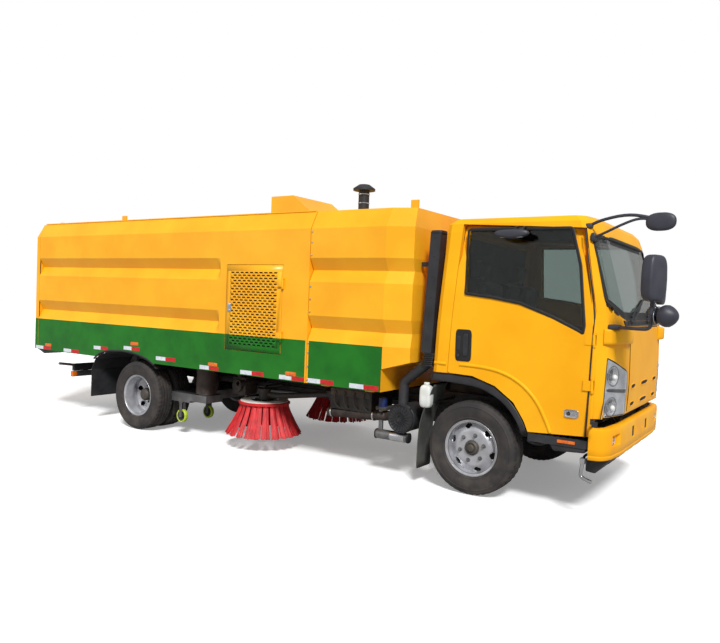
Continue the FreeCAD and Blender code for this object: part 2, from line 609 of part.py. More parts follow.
def leaf_spring(label, x, y, base, reach):
    """One arched stack of leaves resting on its axle."""
    points = [
        ("(%s) - (%s)" % (x, reach), "(%s) + spring_rise" % base),
        ("(%s) - (%s) / 2" % (x, reach), "(%s) + spring_rise / 3" % base),
        ("(%s) - hanger_half" % x, base), ("(%s) + hanger_half" % x, base),
        ("(%s) + (%s) / 2" % (x, reach), "(%s) + spring_rise / 3" % base),
        ("(%s) + (%s)" % (x, reach), "(%s) + spring_rise" % base),
        ("(%s) + (%s)" % (x, reach), "(%s) + spring_rise + spring_thick" % base),
        ("(%s) + (%s) / 2" % (x, reach), "(%s) + spring_rise / 3 + spring_stack / 2" % base),
        ("(%s) + hanger_half" % x, "(%s) + spring_stack" % base),
        ("(%s) - hanger_half" % x, "(%s) + spring_stack" % base),
        ("(%s) - (%s) / 2" % (x, reach), "(%s) + spring_rise / 3 + spring_stack / 2" % base),
        ("(%s) - (%s)" % (x, reach), "(%s) + spring_rise + spring_thick" % base),
    ]
    return plate(label, "XZ", "-(%s + spring_width / 2)" % y, "-(%s - spring_width / 2)" % y, points)


FRONT_SPRING_BASE = "beam_top + seat_gap"
REAR_SPRING_BASE = "tyre_radius + axle_tube_radius + seat_gap"


def leaf_springs():
    front = leaf_spring("front spring", "0", "front_spring_y", FRONT_SPRING_BASE, "front_spring_reach")
    rear = leaf_spring("rear spring", "-wheelbase", "rear_spring_y", REAR_SPRING_BASE, "rear_spring_reach")
    keep("leaf_springs", grouped("leaf springs", both_sides("front spring", front)
                                 + both_sides("rear spring", rear)))


def spring_hangers():
    """Brackets between the rails and the spring ends."""
    items = []
    for x, y, base, reach in (("0", "front_spring_y", FRONT_SPRING_BASE, "front_spring_reach"),
                              ("-wheelbase", "rear_spring_y", REAR_SPRING_BASE, "rear_spring_reach")):
        seat = "(%s) + spring_rise + spring_thick + seat_gap" % base
        for sign in ("-", "+"):
            middle = "(%s) %s (%s - hanger_half)" % (x, sign, reach)
            hanger = box("spring hanger", ("%s - hanger_half" % middle, "%s + hanger_half" % middle),
                         ("-(%s + spring_width / 2)" % y, "-rail_inner_y"),
                         (seat, "rail_low + rail_height / 3"))
            items += both_sides("spring hanger", hanger)
    return items


# Frame
def rail():
    outer = "-rail_y"
    inner = "-rail_inner_y"
    points = [
        (outer, "rail_low"), (inner, "rail_low"), (inner, "rail_low + rail_thick"),
        ("-(rail_y - rail_thick)", "rail_low + rail_thick"),
        ("-(rail_y - rail_thick)", "rail_top - rail_thick"),
        (inner, "rail_top - rail_thick"), (inner, "rail_top"), (outer, "rail_top"),
    ]
    return plate("side rail", "YZ", "-rail_rear", "rail_front", points)


def cross_members():
    items = []
    between = ["-wheelbase * %s" % share for share in CROSS_MEMBER_SHARES]
    behind = ["-(wheelbase + cross_hind_reach)", "-(rail_rear - cross_rear_inset)"]
    for middle in ["rail_front - cross_front_inset"] + between + behind:
        items.append(box("cross member", ("%s - cross_width / 2" % middle, "%s + cross_width / 2" % middle),
                         ("-(rail_y - rail_thick / 2)", "rail_y - rail_thick / 2"),
                         ("rail_top - rail_thick - cross_height", "rail_top - rail_thick / 2")))
    return items


def bin_pivot_supports():
    """Rounded lugs on the rails with the cross tube the bin tilts on."""
    lug = rod("bin pivot lug", "Y", ("-bin_pivot_x", "-(chassis_lug_y + chassis_lug_thick / 2)",
                                     "bin_pivot_z"),
              "chassis_lug_radius", "chassis_lug_thick")
    foot = box("bin pivot foot", ("-(bin_pivot_x + chassis_lug_radius)",
                                  "-(bin_pivot_x - chassis_lug_radius)"),
               ("-(chassis_lug_y + chassis_lug_thick / 2)", "-(chassis_lug_y - chassis_lug_thick / 2)"),
               ("rail_top - rail_thick / 2", "bin_pivot_z"))
    tube = rod("bin pivot tube", "Y", ("-bin_pivot_x", "-pivot_tube_y", "bin_pivot_z"), "bin_pivot_radius",
               "2 * pivot_tube_y")
    return both_sides("bin pivot lug", lug) + both_sides("bin pivot foot", foot) + [tube]


def lift_base():
    """Cross beam, ears and pin that carry the lift cylinder's foot."""
    beam = box("lift beam", ("-(lift_base_x - lift_eye_radius)", "-(lift_base_x - 4 * lift_eye_radius)"),
               ("-(rail_y - rail_thick / 2)", "rail_y - rail_thick / 2"),
               ("lift_base_z - lift_eye_radius", "lift_base_z + lift_eye_radius"))
    ear = box("lift foot ear", ("-(lift_base_x + lift_ear_half)", "-(lift_base_x - 2 * lift_eye_radius)"),
              ("-(lift_eye_half + move_gap + lift_ear_thick)", "-(lift_eye_half + move_gap)"),
              ("lift_base_z - lift_ear_half", "lift_base_z + lift_ear_half"))
    pin = rod("lift foot pin", "Y", ("-lift_base_x", "-(lift_eye_half + move_gap + lift_ear_thick)",
                                     "lift_base_z"),
              "lift_pin_radius", "2 * (lift_eye_half + move_gap + lift_ear_thick)")
    relief = rod("lift foot relief", "Y", ("-lift_base_x", "-(lift_eye_half + move_gap)", "lift_base_z"),
                 "lift_barrel_radius + move_gap", "2 * (lift_eye_half + move_gap)")
    return [cut("lift beam with relief", beam, [relief])] + both_sides("lift foot ear", ear) + [pin]


def brush_pivots():
    """Leaning pins on brackets for the two brush arms."""
    lean = arm_direction()
    start = ("-arm_pivot_x", "-arm_pivot_y", "arm_pivot_z")
    pin = leaning_rod("arm pin", start, lean, "arm_pin_radius",
                      "-(arm_boss_half + arm_lug_thick)", "arm_boss_half + arm_lug_thick")
    items = both_sides("arm pin", pin)
    for low, high in (("-(arm_boss_half + ear_gap + arm_lug_thick)", "-(arm_boss_half + ear_gap)"),
                      ("arm_boss_half + ear_gap", "arm_boss_half + ear_gap + arm_lug_thick")):
        items += both_sides("arm pivot ear", leaning_rod("arm pivot ear", start, lean, "arm_boss_radius",
                                                         low, high))
    for outer, low in (("arm_pivot_y + 2 * skin", "arm_pivot_z + arm_strut_high"),
                       ("arm_pivot_y - arm_boss_radius - skin / 2", "arm_pivot_z - arm_strut_low")):
        strut = box("arm pivot strut", ("-arm_pivot_x", "-(arm_pivot_x - 2 * arm_boss_radius)"),
                    ("-(%s)" % outer, "-(rail_y - rail_thick / 2)"), (low, "%s + arm_strut_thick" % low))
        items += both_sides("arm pivot strut", strut)
    post = box("arm pivot post", ("-(arm_pivot_x - arm_boss_radius - move_gap)",
                                  "-(arm_pivot_x - 2 * arm_boss_radius)"),
               ("-(rail_y + 2 * skin)", "-(rail_y - rail_thick / 2)"),
               ("arm_pivot_z - arm_strut_low", "arm_pivot_z + arm_strut_high + arm_strut_thick"))
    return items + both_sides("arm pivot post", post)


def arm_direction():
    """Direction of the right arm's leaning pin."""
    lean = math.radians(number("arm_tilt"))
    return FreeCAD.Vector(0, -math.sin(lean), math.cos(lean))


def hose_bracket():
    bar = box("hose bracket", ("-(hose_x + bar_half)", "-(hose_x - bar_half)"),
              ("-hose_y", "-(rail_y - rail_thick)"),
              ("rail_low + 8 * skin", "rail_low + 11 * skin"))
    hole = rod("hose bracket hole", "Z", ("-hose_x", "-hose_y", "rail_low"), "hose_radius + seat_gap",
               "rail_height")
    return cut("hose bracket", bar, [hole])


def bumper_horns():
    horn = box("bumper horn", ("rail_front - skin", "bumper_front - bumper_thick - seat_gap"),
               ("-(bumper_horn_y + bumper_horn_half)", "-(bumper_horn_y - bumper_horn_half)"),
               ("rail_low", "rail_top - 7 * rail_thick"))
    return both_sides("bumper horn", horn)


def cab_pivot_tube():
    return rod("cab pivot tube", "Y", ("cab_pivot_x", "-(cab_arm_y + cab_arm_thick + skin)", "cab_pivot_z"),
               "cab_pivot_radius", "2 * (cab_arm_y + cab_arm_thick + skin)")


def tank_brackets():
    """Short arms from the rails to the tanks hung beside them."""
    items = []
    near = "rail_y - rail_thick / 2"
    for front, rear, far, left in (("fuel_front", "fuel_rear", "fuel_inner_y - seat_gap", True),
                                   ("hydraulic_front", "hydraulic_rear", "hydraulic_inner_y - seat_gap",
                                    False)):
        for share in (0.25, 0.75):
            middle = "-(%s + (%s - %s) * %s)" % (front, rear, front, share)
            span = ("%s - 2 * skin" % middle, "%s + 2 * skin" % middle)
            y = (near, far) if left else ("-(%s)" % far, "-(%s)" % near)
            items.append(box("tank bracket", span, y, ("rail_low + 5 * skin", "rail_low + 12 * skin")))
    return items


def tow_bar():
    """Low bar in front with a bored eye for a tow pin."""
    bar = box("tow bar", ("rail_front - 4 * skin", "rail_front + 2 * skin"),
              ("-(rail_y - rail_thick / 2)", "rail_y - rail_thick / 2"),
              ("rail_low + skin", "rail_low + 7 * skin"))
    return bar


def rear_tow_block():
    """Rear cross beam with the two drop arms for the bars."""
    beam = box("rear beam", ("-rail_rear", "-(rail_rear - 4 * skin)"),
               ("-(rail_y - rail_thick / 2)", "rail_y - rail_thick / 2"),
               ("rail_low + 2 * skin", "rail_top - 3 * skin"))
    return beam


def drop_arms():
    arm = box("drop arm", ("-(underrun_x - underrun_thick / 2 - seat_gap)",
                           "-(underrun_x - underrun_thick / 2 - 2 * skin)"),
              ("-(drop_arm_y + drop_arm_half)", "-(drop_arm_y - drop_arm_half)"),
              ("underrun_low", "rail_low + rail_thick / 2"))
    return both_sides("drop arm", arm)


def chassis_frame():
    parts = both_sides("side rail", rail()) + cross_members() + spring_hangers() + bin_pivot_supports()
    parts += lift_base() + brush_pivots() + [hose_bracket()] + bumper_horns()
    parts += [cab_pivot_tube(), tow_bar(), rear_tow_block()] + tank_brackets() + drop_arms()
    parts += nozzle_lift_barrels()
    keep("chassis_frame", joined("chassis frame", parts))


# Engine and driveline
def engine_block():
    block = box("engine", ("-engine_rear", "engine_front"), ("-engine_half_width", "engine_half_width"),
                ("engine_low", "engine_top"))
    gearbox = box("gearbox", ("-gearbox_rear", "-(engine_rear - skin)"),
                  ("-gearbox_half_width", "gearbox_half_width"), ("engine_low", "gearbox_top"))
    feet = box("engine feet", ("-(engine_foot_x + engine_foot_long)", "-engine_foot_x"),
               ("-(rail_y - rail_thick - seat_gap)", "rail_y - rail_thick - seat_gap"),
               ("engine_foot_low", "engine_foot_top"))
    keep("engine_block", joined("engine block", [block, gearbox, feet]))


def drive_shaft():
    shaft = routed("drive shaft", [("-(gearbox_rear + shaft_end_gap)", "0", "shaft_front_z"),
                                   ("-(wheelbase - diff_radius - 5 * skin - shaft_end_gap)", "0",
                                    "shaft_rear_z")],
                   "shaft_radius", "shaft_radius")
    keep("drive_shaft", shaft)


def auxiliary_engine():
    keep("auxiliary_engine", box("auxiliary engine", ("-aux_rear", "-aux_front"),
                                 ("-aux_half_width", "aux_half_width"), ("aux_low", "aux_top")))


# Water tank body
def tank_outline(inset):
    """Plan of the tank at one height, drawn in by an inset."""
    side = "body_half_width - (%s)" % inset
    nose = "tank_facet_y - (%s) * 0.85" % inset
    half = [("-tank_rear", side), ("-tank_facet", side), ("-(tank_front + (%s) / 4)" % inset, nose)]
    return half + [(x, "-(%s)" % y) for x, y in reversed(half)]


def water_tank():
    body = layered("tank body", "XY", [(level, tank_outline(inset)) for level, inset in TANK_LEVELS])
    notch = plate("tank notch", "XZ", "-(body_half_width + overrun)", "body_half_width + overrun", [
        ("-tank_facet", "body_low - overrun"), ("-tank_facet", "tank_notch_low"),
        ("-(tank_front - overrun)", "tank_notch_high"), ("-(tank_front - overrun)", "body_low - overrun")])
    shaped = cut("tank body with notch", body, [notch])
    bearers = []
    for share in (0.2, 0.8):
        middle = "-(tank_facet + (tank_rear - tank_facet) * %s)" % share
        bearers.append(box("tank bearer", ("%s - bearer_width / 2" % middle,
                                           "%s + bearer_width / 2" % middle),
                           ("-bin_inner_y", "bin_inner_y"),
                           ("body_low - bearer_height", "body_low + skin")))
    lug = box("lifting lug", ("-(lug_front_x + lug_long)", "-lug_front_x"),
              ("-(lug_y + lug_thick)", "-lug_y"),
              ("body_top - skin", "body_top + lug_height"))
    keep("water_tank", joined("water tank", [shaped] + bearers + both_sides("lifting lug", lug)))


def exhaust_stack():
    pipe = rod("stack pipe", "Z", ("-stack_x", "-stack_y", "body_top + seat_gap"), "stack_radius",
               "stack_top - body_top - stack_cap_thick / 2")
    cap = turned("stack cap", "Z", ("-stack_x", "-stack_y", "stack_top - stack_cap_thick"), [
        ("0", "0"), ("stack_cap_radius", "0"), ("stack_cap_radius", "stack_cap_thick / 3"),
        ("stack_radius", "stack_cap_thick"), ("0", "stack_cap_thick")])
    keep("exhaust_stack", joined("exhaust stack", [pipe, cap]))


# Dust bin
def groove_tool(label, low, high):
    """Long groove along the right side, running out before the service door."""
    middle = "((%s) + (%s)) / 2" % (low, high)
    outside = "-(body_half_width + overrun)"
    levels = []
    for x, face, depth in (("-(body_rear + overrun)", "0", "groove_depth"),
                           ("-(groove_end + groove_taper)", "0", "groove_depth"),
                           ("-groove_end", "1", "-1")):
        plane = "-(body_half_width + %s * run_gap)" % face
        levels.append((x, [(outside, low), (plane, low), ("-(body_half_width - (%s))" % depth, middle),
                           (plane, high), (outside, high)]))
    return layered(label, "YZ", levels)


def arch_tool(label, y):
    """Wheel arch cut through the side skirt."""
    points = []
    for along, up in FLOOR_ARCH_SHARES:
        points.append(("-(arch_rear_x - (arch_rear_x - arch_front_x) * %s)" % along,
                       "body_low - overrun + (arch_top_z - body_low + overrun) * %s" % up))
    return plate(label, "XZ", y[0], y[1], points)


SERVICE_HINGE_X = "-(service_front - hinge_sleeve_radius - move_gap)"
SERVICE_HINGE_Y = "-(body_half_width + hinge_out)"
SERVICE_HINGE_LEVELS = (0.2, 0.8)


def service_hinge_z(share):
    return "(service_low + (service_top - service_low) * %s)" % share


def bin_side():
    wall = box("side wall", ("-(body_rear - gate_thick - move_gap)", "-bin_front"),
               ("-body_half_width", "-bin_inner_y"), ("body_low", "body_knee"))
    tools = [groove_tool("lower groove", "groove_low_z", "groove_low_top"),
             groove_tool("upper groove", "groove_high_z", "groove_high_top"),
             arch_tool("arch", ("-(body_half_width + overrun)", "-(bin_inner_y - overrun)")),
             box("service opening", ("-(service_rear + door_gap)", "-(service_front - door_gap)"),
                 ("-(body_half_width + overrun)", "-(bin_inner_y - overrun)"),
                 ("service_low - door_gap", "service_top + door_gap"))]
    shaped = cut("side wall with openings", wall, tools)
    lugs = []
    for share in SERVICE_HINGE_LEVELS:
        middle = service_hinge_z(share)
        lugs.append(rod("door pin", "Z", (SERVICE_HINGE_X, SERVICE_HINGE_Y, "%s - hinge_long / 2" % middle),
                        "hinge_pin_radius", "hinge_long"))
        for start in ("- hinge_long / 2 - seat_gap", "+ hinge_long / 2 - hinge_end + seat_gap"):
            lugs.append(box("door pin lug",
                            ("%s - hinge_pin_radius" % SERVICE_HINGE_X,
                             "%s + hinge_sleeve_radius" % SERVICE_HINGE_X),
                            ("-(body_half_width + hinge_out + hinge_pin_radius)",
                             "-(body_half_width - skin)"),
                            ("%s %s" % (middle, start), "%s %s + hinge_end" % (middle, start))))
    return joined("bin side", [shaped] + lugs)


def service_door():
    skin = box("service skin", ("-service_rear", "-service_front"),
               ("-body_half_width", "-(body_half_width - service_thick)"), ("service_low", "service_top"))
    sleeves = []
    bores = []
    for share in SERVICE_HINGE_LEVELS:
        middle = service_hinge_z(share)
        low = "%s - hinge_long / 2 + hinge_end + 2 * seat_gap" % middle
        length = "hinge_long - 2 * hinge_end - 4 * seat_gap"
        sleeves.append(rod("door sleeve", "Z", (SERVICE_HINGE_X, SERVICE_HINGE_Y, low),
                           "hinge_sleeve_radius", length))
        back = "-(service_front + 4 * hinge_sleeve_radius)"
        face = "-(body_half_width + hinge_out - hinge_sleeve_radius)"
        sleeves.append(box("door leaf", (back, SERVICE_HINGE_X), ("-(body_half_width + hinge_out)", face),
                           (low, "%s + %s" % (low, length))))
        sleeves.append(box("door leaf pad", (back, "-(service_front + skin)"),
                           ("-(body_half_width + hinge_out)", "-(body_half_width - skin / 2)"),
                           (low, "%s + %s" % (low, length))))
        bores.append(rod("door bore", "Z", (SERVICE_HINGE_X, SERVICE_HINGE_Y, "%s - hinge_long" % middle),
                         "hinge_pin_radius + run_gap", "2 * hinge_long"))
    keep_pair("service_door", cut("service door", joined("service door body", [skin] + sleeves), bores))


def bin_floor():
    rear = "-(body_rear - gate_thick - move_gap)"
    inner = "bin_inner_y - seat_gap"
    floor = box("floor", (rear, "-(bin_partition - bin_wall)"), ("-(%s)" % inner, inner),
                ("bin_floor_z", "bin_floor_z + bin_floor_thick"))
    runner = box("runner", ("-runner_rear", "-runner_front"),
                 ("-(runner_y + runner_half)", "-(runner_y - runner_half)"),
                 ("runner_low", "bin_floor_z + skin"))
    beam = box("lift eye beam", ("-(lift_eye_x + lift_beam_half)", "-(lift_eye_x - lift_beam_half)"),
               ("-runner_y", "runner_y"), ("lift_beam_low", "bin_floor_z + skin"))
    ear = box("lift eye ear", ("-(lift_eye_x + lift_ear_half)", "-(lift_eye_x - lift_ear_half)"),
              ("-(lift_eye_half + move_gap + lift_ear_thick)", "-(lift_eye_half + move_gap)"),
              ("lift_eye_z - lift_ear_half", "lift_beam_low + skin"))
    lug = box("bin lug", ("-(bin_pivot_x + bin_lug_half)", "-(bin_pivot_x - bin_lug_half)"),
              ("-(bin_lug_y + bin_lug_thick)", "-bin_lug_y"),
              ("bin_pivot_z - bin_lug_half", "bin_floor_z + skin"))
    bore = rod("bin lug bore", "Y", ("-bin_pivot_x", "-pivot_tube_y", "bin_pivot_z"),
               "bin_pivot_radius + run_gap",
               "2 * pivot_tube_y")
    ear_row = both_sides("lift eye ear", ear)
    lug_row = [cut("bored " + item.Label, item, [bore]) for item in both_sides("bin lug", lug)]
    parts = [floor, beam] + both_sides("runner", runner) + ear_row + lug_row
    keep("bin_floor", grouped("bin floor group", [joined("bin floor whole", parts), rear_lip()]))


def rear_lip():
    """Slanted lip along the rear lower edge of the bin."""
    points = [
        ("-lip_front_x", "body_low - seat_gap"), ("-lip_low_x", "lip_low_z"),
        ("-(body_rear - gate_thick - move_gap)", "body_low - seat_gap"),
    ]
    return plate("rear lip", "XZ", "-(body_half_width - skin)", "body_half_width - skin", points)


def bin_roof():
    points = [
        ("body_half_width", "body_knee + seat_gap"), ("body_top_y", "body_top"),
        ("-body_top_y", "body_top"),
        ("-body_half_width", "body_knee + seat_gap"), ("-bin_inner_y", "body_knee + seat_gap"),
        ("-(body_top_y - bin_roof_thick)", "body_top - bin_roof_thick"),
        ("body_top_y - bin_roof_thick", "body_top - bin_roof_thick"),
        ("bin_inner_y", "body_knee + seat_gap"),
    ]
    roof = plate("roof", "YZ", "-(body_rear - gate_thick - move_gap)", "-bin_front", points)
    lug = box("rear lifting lug", ("-lug_rear_x", "-(lug_rear_x - lug_long)"),
              ("-(lug_y + lug_thick)", "-lug_y"),
              ("body_top - skin", "body_top + lug_height"))
    keep("bin_roof", joined("bin roof", [roof] + both_sides("rear lifting lug", lug) + gate_pins()))


GATE_HINGE_X = "-(body_rear - 2 * gate_pin_radius)"
GATE_HINGE_SHARES = (0.75,)


def gate_pins():
    """Pins and lugs behind the roof for the tailgate."""
    items = []
    for share in GATE_HINGE_SHARES:
        y = "-(body_top_y * %s)" % share
        pin = rod("gate pin", "Y", (GATE_HINGE_X, "(%s) - 2 * gate_lug_half" % y,
                                    "gate_hinge_z + lug_height / 2"),
                  "gate_pin_radius", "4 * gate_lug_half")
        lugs = []
        for sign in ("-", "+"):
            middle = "(%s) %s 3 * gate_lug_half / 2" % (y, sign)
            lugs.append(box("gate lug", (GATE_HINGE_X, "-(body_rear - gate_thick - 4 * skin)"),
                            ("(%s) - gate_lug_half / 3" % middle, "(%s) + gate_lug_half / 3" % middle),
                            ("body_top - skin / 2", "gate_hinge_z + lug_height / 2 + gate_pin_radius")))
        items += both_sides("gate pin", pin)
        for lug in lugs:
            items += both_sides("gate lug", lug)
    return items


def tailgate():
    """Rear door hung from two pins above the roof edge."""
    points = [
        ("body_half_width", "gate_low"), ("body_half_width", "body_knee"),
        ("body_top_y", "body_top - move_gap"),
        ("-body_top_y", "body_top - move_gap"), ("-body_half_width", "body_knee"),
        ("-body_half_width", "gate_low"),
    ]
    panel = plate("gate panel", "YZ", "-body_rear", "-(body_rear - gate_thick)", points)
    sleeves = []
    bores = []
    for share in GATE_HINGE_SHARES:
        y = "-(body_top_y * %s)" % share
        sleeve = box("gate sleeve", ("-body_rear", "%s + 2 * gate_pin_radius" % GATE_HINGE_X),
                     ("(%s) - gate_lug_half" % y, "(%s) + gate_lug_half" % y),
                     ("body_top - 2 * skin", "gate_hinge_z + lug_height / 2 + 2 * gate_pin_radius"))
        bore = rod("gate bore", "Y", (GATE_HINGE_X, "(%s) - 2 * gate_lug_half" % y,
                                      "gate_hinge_z + lug_height / 2"),
                   "gate_pin_radius + run_gap", "4 * gate_lug_half")
        sleeves += both_sides("gate sleeve", sleeve)
        bores += both_sides("gate bore", bore)
    keep("tailgate", cut("tailgate", joined("tailgate body", [panel] + sleeves), bores))


def bin_walls():
    """Side walls, front wall and the wall between hopper and engine bay."""
    inner = "bin_inner_y - seat_gap"
    items = both_sides("bin side", bin_side())
    for label, rear, front, low in (
            ("front wall", "-(bin_front + bin_wall)", "-bin_front", "body_low"),
            ("partition", "-bin_partition", "-(bin_partition - bin_wall)",
             "bin_floor_z + bin_floor_thick + seat_gap")):
        items.append(box(label, (rear, front), ("-(%s)" % inner, inner), (low, "body_knee")))
    keep("bin_walls", grouped("bin walls", items))


def exhaust_hood():
    points = [
        ("-hood_rear", "body_top + seat_gap"), ("-hood_front", "body_top + seat_gap"),
        ("-hood_knee", "hood_top"), ("-hood_rear", "hood_top"),
    ]
    keep("exhaust_hood", plate("exhaust hood", "XZ", "-hood_outer_y", "-hood_inner_y", points))


# Lift cylinder
def lift_direction():
    along = vector(("-lift_eye_x", "0", "lift_eye_z")) - vector(("-lift_base_x", "0", "lift_base_z"))
    return along.normalize()


def lift_span():
    return math.hypot(number("lift_eye_x - lift_base_x"), number("lift_eye_z - lift_base_z"))


def lift_cylinder():
    way = lift_direction()
    base = ("-lift_base_x", "0", "lift_base_z")
    body = leaning_rod("barrel body", base, way, "lift_barrel_radius", "lift_barrel_radius + skin",
                       "lift_barrel_long")
    foot = rod("barrel foot", "Y", ("-lift_base_x", "-lift_eye_half", "lift_base_z"), "lift_eye_radius",
               "2 * lift_eye_half")
    neck = leaning_rod("barrel neck", base, way, "lift_eye_half - skin", "0",
                       "lift_barrel_radius + 2 * skin")
    space = leaning_rod("barrel space", base, way, "lift_bore_radius", "lift_barrel_radius + 3 * skin",
                        "lift_barrel_long - 3 * skin")
    gland = leaning_rod("barrel gland", base, way, "lift_rod_radius", "lift_barrel_long - 4 * skin",
                        "lift_barrel_long + skin")
    pin_hole = rod("barrel foot bore", "Y", ("-lift_base_x", "-2 * lift_eye_half", "lift_base_z"),
                   "lift_pin_radius + run_gap",
                   "4 * lift_eye_half")
    keep("lift_barrel", cut("lift barrel", joined("barrel whole", [body, foot, neck]),
                            [space, gland, pin_hole]))
    span = "%.9f" % lift_span()
    bar = leaning_rod("rod bar", base, way, "lift_rod_radius - run_gap", "%s - lift_rod_inside" % span,
                      span)
    piston = leaning_rod("rod piston", base, way, "lift_bore_radius - run_gap",
                         "%s - lift_rod_inside" % span,
                         "%s - lift_rod_inside + 4 * skin" % span)
    eye = rod("rod eye", "Y", ("-lift_eye_x", "-lift_eye_half", "lift_eye_z"), "lift_eye_radius",
              "2 * lift_eye_half")
    hole = rod("rod eye bore", "Y", ("-lift_eye_x", "-2 * lift_eye_half", "lift_eye_z"), "lift_pin_radius",
               "4 * lift_eye_half")
    keep("lift_rod", cut("lift rod", joined("rod whole", [bar, piston, eye]), [hole]))


# Hose, nozzle, castors
def suction_hose():
    keep("suction_hose", ring("suction hose", "Z", ("-hose_x", "-hose_y", "hose_low"), "hose_radius",
                              "hose_bore",
                              "bin_floor_z - hose_gap - hose_low"))


def nozzle_lift_barrels():
    barrel = ring("nozzle barrel", "Z", ("-nozzle_rod_x", "-nozzle_rod_y", "nozzle_barrel_low"),
                  "nozzle_barrel_radius", "nozzle_rod_radius + run_gap",
                  "nozzle_barrel_top - nozzle_barrel_low")
    strap = box("nozzle barrel strap", ("-(nozzle_rod_x + bar_half)", "-(nozzle_rod_x - bar_half)"),
                ("-(nozzle_rod_y - nozzle_barrel_radius / 2)", "-(rail_y - rail_thick / 2)"),
                ("rail_low + 4 * skin", "rail_low + 10 * skin"))
    hole = rod("strap hole", "Z", ("-nozzle_rod_x", "-nozzle_rod_y", "rail_low"),
               "nozzle_rod_radius + run_gap", "rail_height")
    return both_sides("nozzle barrel", joined("nozzle barrel and strap",
                                              [barrel, cut("nozzle strap", strap, [hole])]))


def castor_fork(x, y):
    """Two cheeks, a plate on the nozzle bar and the pin the wheel rolls on."""
    items = []
    for sign in ("-", "+"):
        middle = "(%s) %s (castor_half + fork_thick)" % (y, sign)
        items.append(box("castor cheek", ("(%s) - fork_half" % x, "(%s) + fork_half" % x),
                         ("%s - fork_thick / 2" % middle, "%s + fork_thick / 2" % middle),
                         ("castor_z - castor_pin - skin / 2", "nozzle_low - bar_thick / 2")))
    items.append(rod("castor pin", "Y", (x, "(%s) - castor_half - fork_thick" % y, "castor_z"),
                     "castor_pin",
                     "2 * (castor_half + fork_thick)"))
    items.append(box("castor bridge", ("(%s) - fork_half" % x, "(%s) + fork_half" % x),
                     ("(%s) - castor_half - fork_thick" % y, "(%s) + castor_half + fork_thick" % y),
                     ("castor_z + castor_radius + move_gap",
                      "castor_z + castor_radius + move_gap + castor_plate_thick")))
    return items


def suction_nozzle():
    """Open-bottomed hood each side of the drive shaft, with a spout, lift rods, bar and castor forks."""
    outer = box("hood", ("-nozzle_rear", "-nozzle_front"), ("-nozzle_half_width", "-nozzle_inner_y"),
                ("nozzle_low", "nozzle_top"))
    lift = rod("nozzle rod", "Z", ("-nozzle_rod_x", "-nozzle_rod_y", "nozzle_top - skin"),
               "nozzle_rod_radius",
               "nozzle_rod_top - nozzle_top + skin")
    hollow = box("hood space", ("-(nozzle_rear - nozzle_wall)", "-(nozzle_front + nozzle_wall)"),
                 ("-(nozzle_half_width - nozzle_wall)", "-(nozzle_inner_y + nozzle_wall)"),
                 ("nozzle_low - overrun", "nozzle_top - nozzle_wall"))
    half = cut("half hood", joined("half hood whole", [outer, lift]), [hollow])
    spout = box("spout", ("-(nozzle_front + skin / 2)", "-spout_front"),
                ("-(hose_y + spout_half)", "-(hose_y - spout_half)"),
                ("spout_low", "nozzle_top"))
    pipe = rod("spout pipe", "Z", ("-hose_x", "-hose_y", "nozzle_top - skin"), "nozzle_pipe_radius",
               "nozzle_pipe_top - nozzle_top + skin")
    throat = box("spout space", ("-(nozzle_front + 4 * skin)", "-(spout_front + nozzle_wall)"),
                 ("-(hose_y + spout_half - nozzle_wall)", "-(hose_y - spout_half + nozzle_wall)"),
                 ("spout_low + nozzle_wall", "nozzle_top - nozzle_wall"))
    bore = rod("spout bore", "Z", ("-hose_x", "-hose_y", "nozzle_top - 3 * skin"),
               "nozzle_pipe_radius - nozzle_pipe_wall",
               "nozzle_pipe_top - nozzle_top + 5 * skin")
    bar = box("cross bar", ("-(castor_x + bar_half)", "-(castor_x - bar_half)"),
              ("-nozzle_half_width", "nozzle_half_width"),
              ("nozzle_low - bar_thick", "nozzle_low + bar_thick / 2"))
    hood = cut("hood hollow", joined("hood whole", both_sides("half hood", half) + [spout, pipe]),
               [throat, bore])
    forks = []
    for y in ("-castor_outer_y", "-castor_inner_y"):
        fork = joined("castor fork", castor_fork("-castor_x", y))
        forks += both_sides("castor fork", fork)
    keep("suction_nozzle", joined("suction nozzle", [hood, bar] + forks))


def castor_wheels():
    for side, y in (("outer", "-castor_outer_y"), ("inner", "-castor_inner_y")):
        wheel = ring("castor wheel", "Y", ("-castor_x", "(%s) - castor_half" % y, "castor_z"),
                     "castor_radius",
                     "castor_pin + run_gap", "2 * castor_half")
        keep_pair(side + "_castor", wheel)


# Gutter brushes
def brush():
    hub = "brush_shaft + run_gap"
    disc = turned("brush disc", "Z", ("-brush_x", "-brush_y", "0"), [
        (hub, "brush_disc_top - brush_disc_thick"), ("bristle_inner_root",
                                                     "brush_disc_top - brush_disc_thick"),
        ("bristle_inner_tip", "bristle_low"), ("bristle_tip_radius", "bristle_low"),
        ("brush_disc_radius", "brush_disc_top - brush_disc_thick"),
        ("brush_disc_radius", "brush_disc_top - skin"),
        ("brush_hub_radius", "brush_disc_top"), (hub, "brush_disc_top")])
    keep_pair("brush", disc)


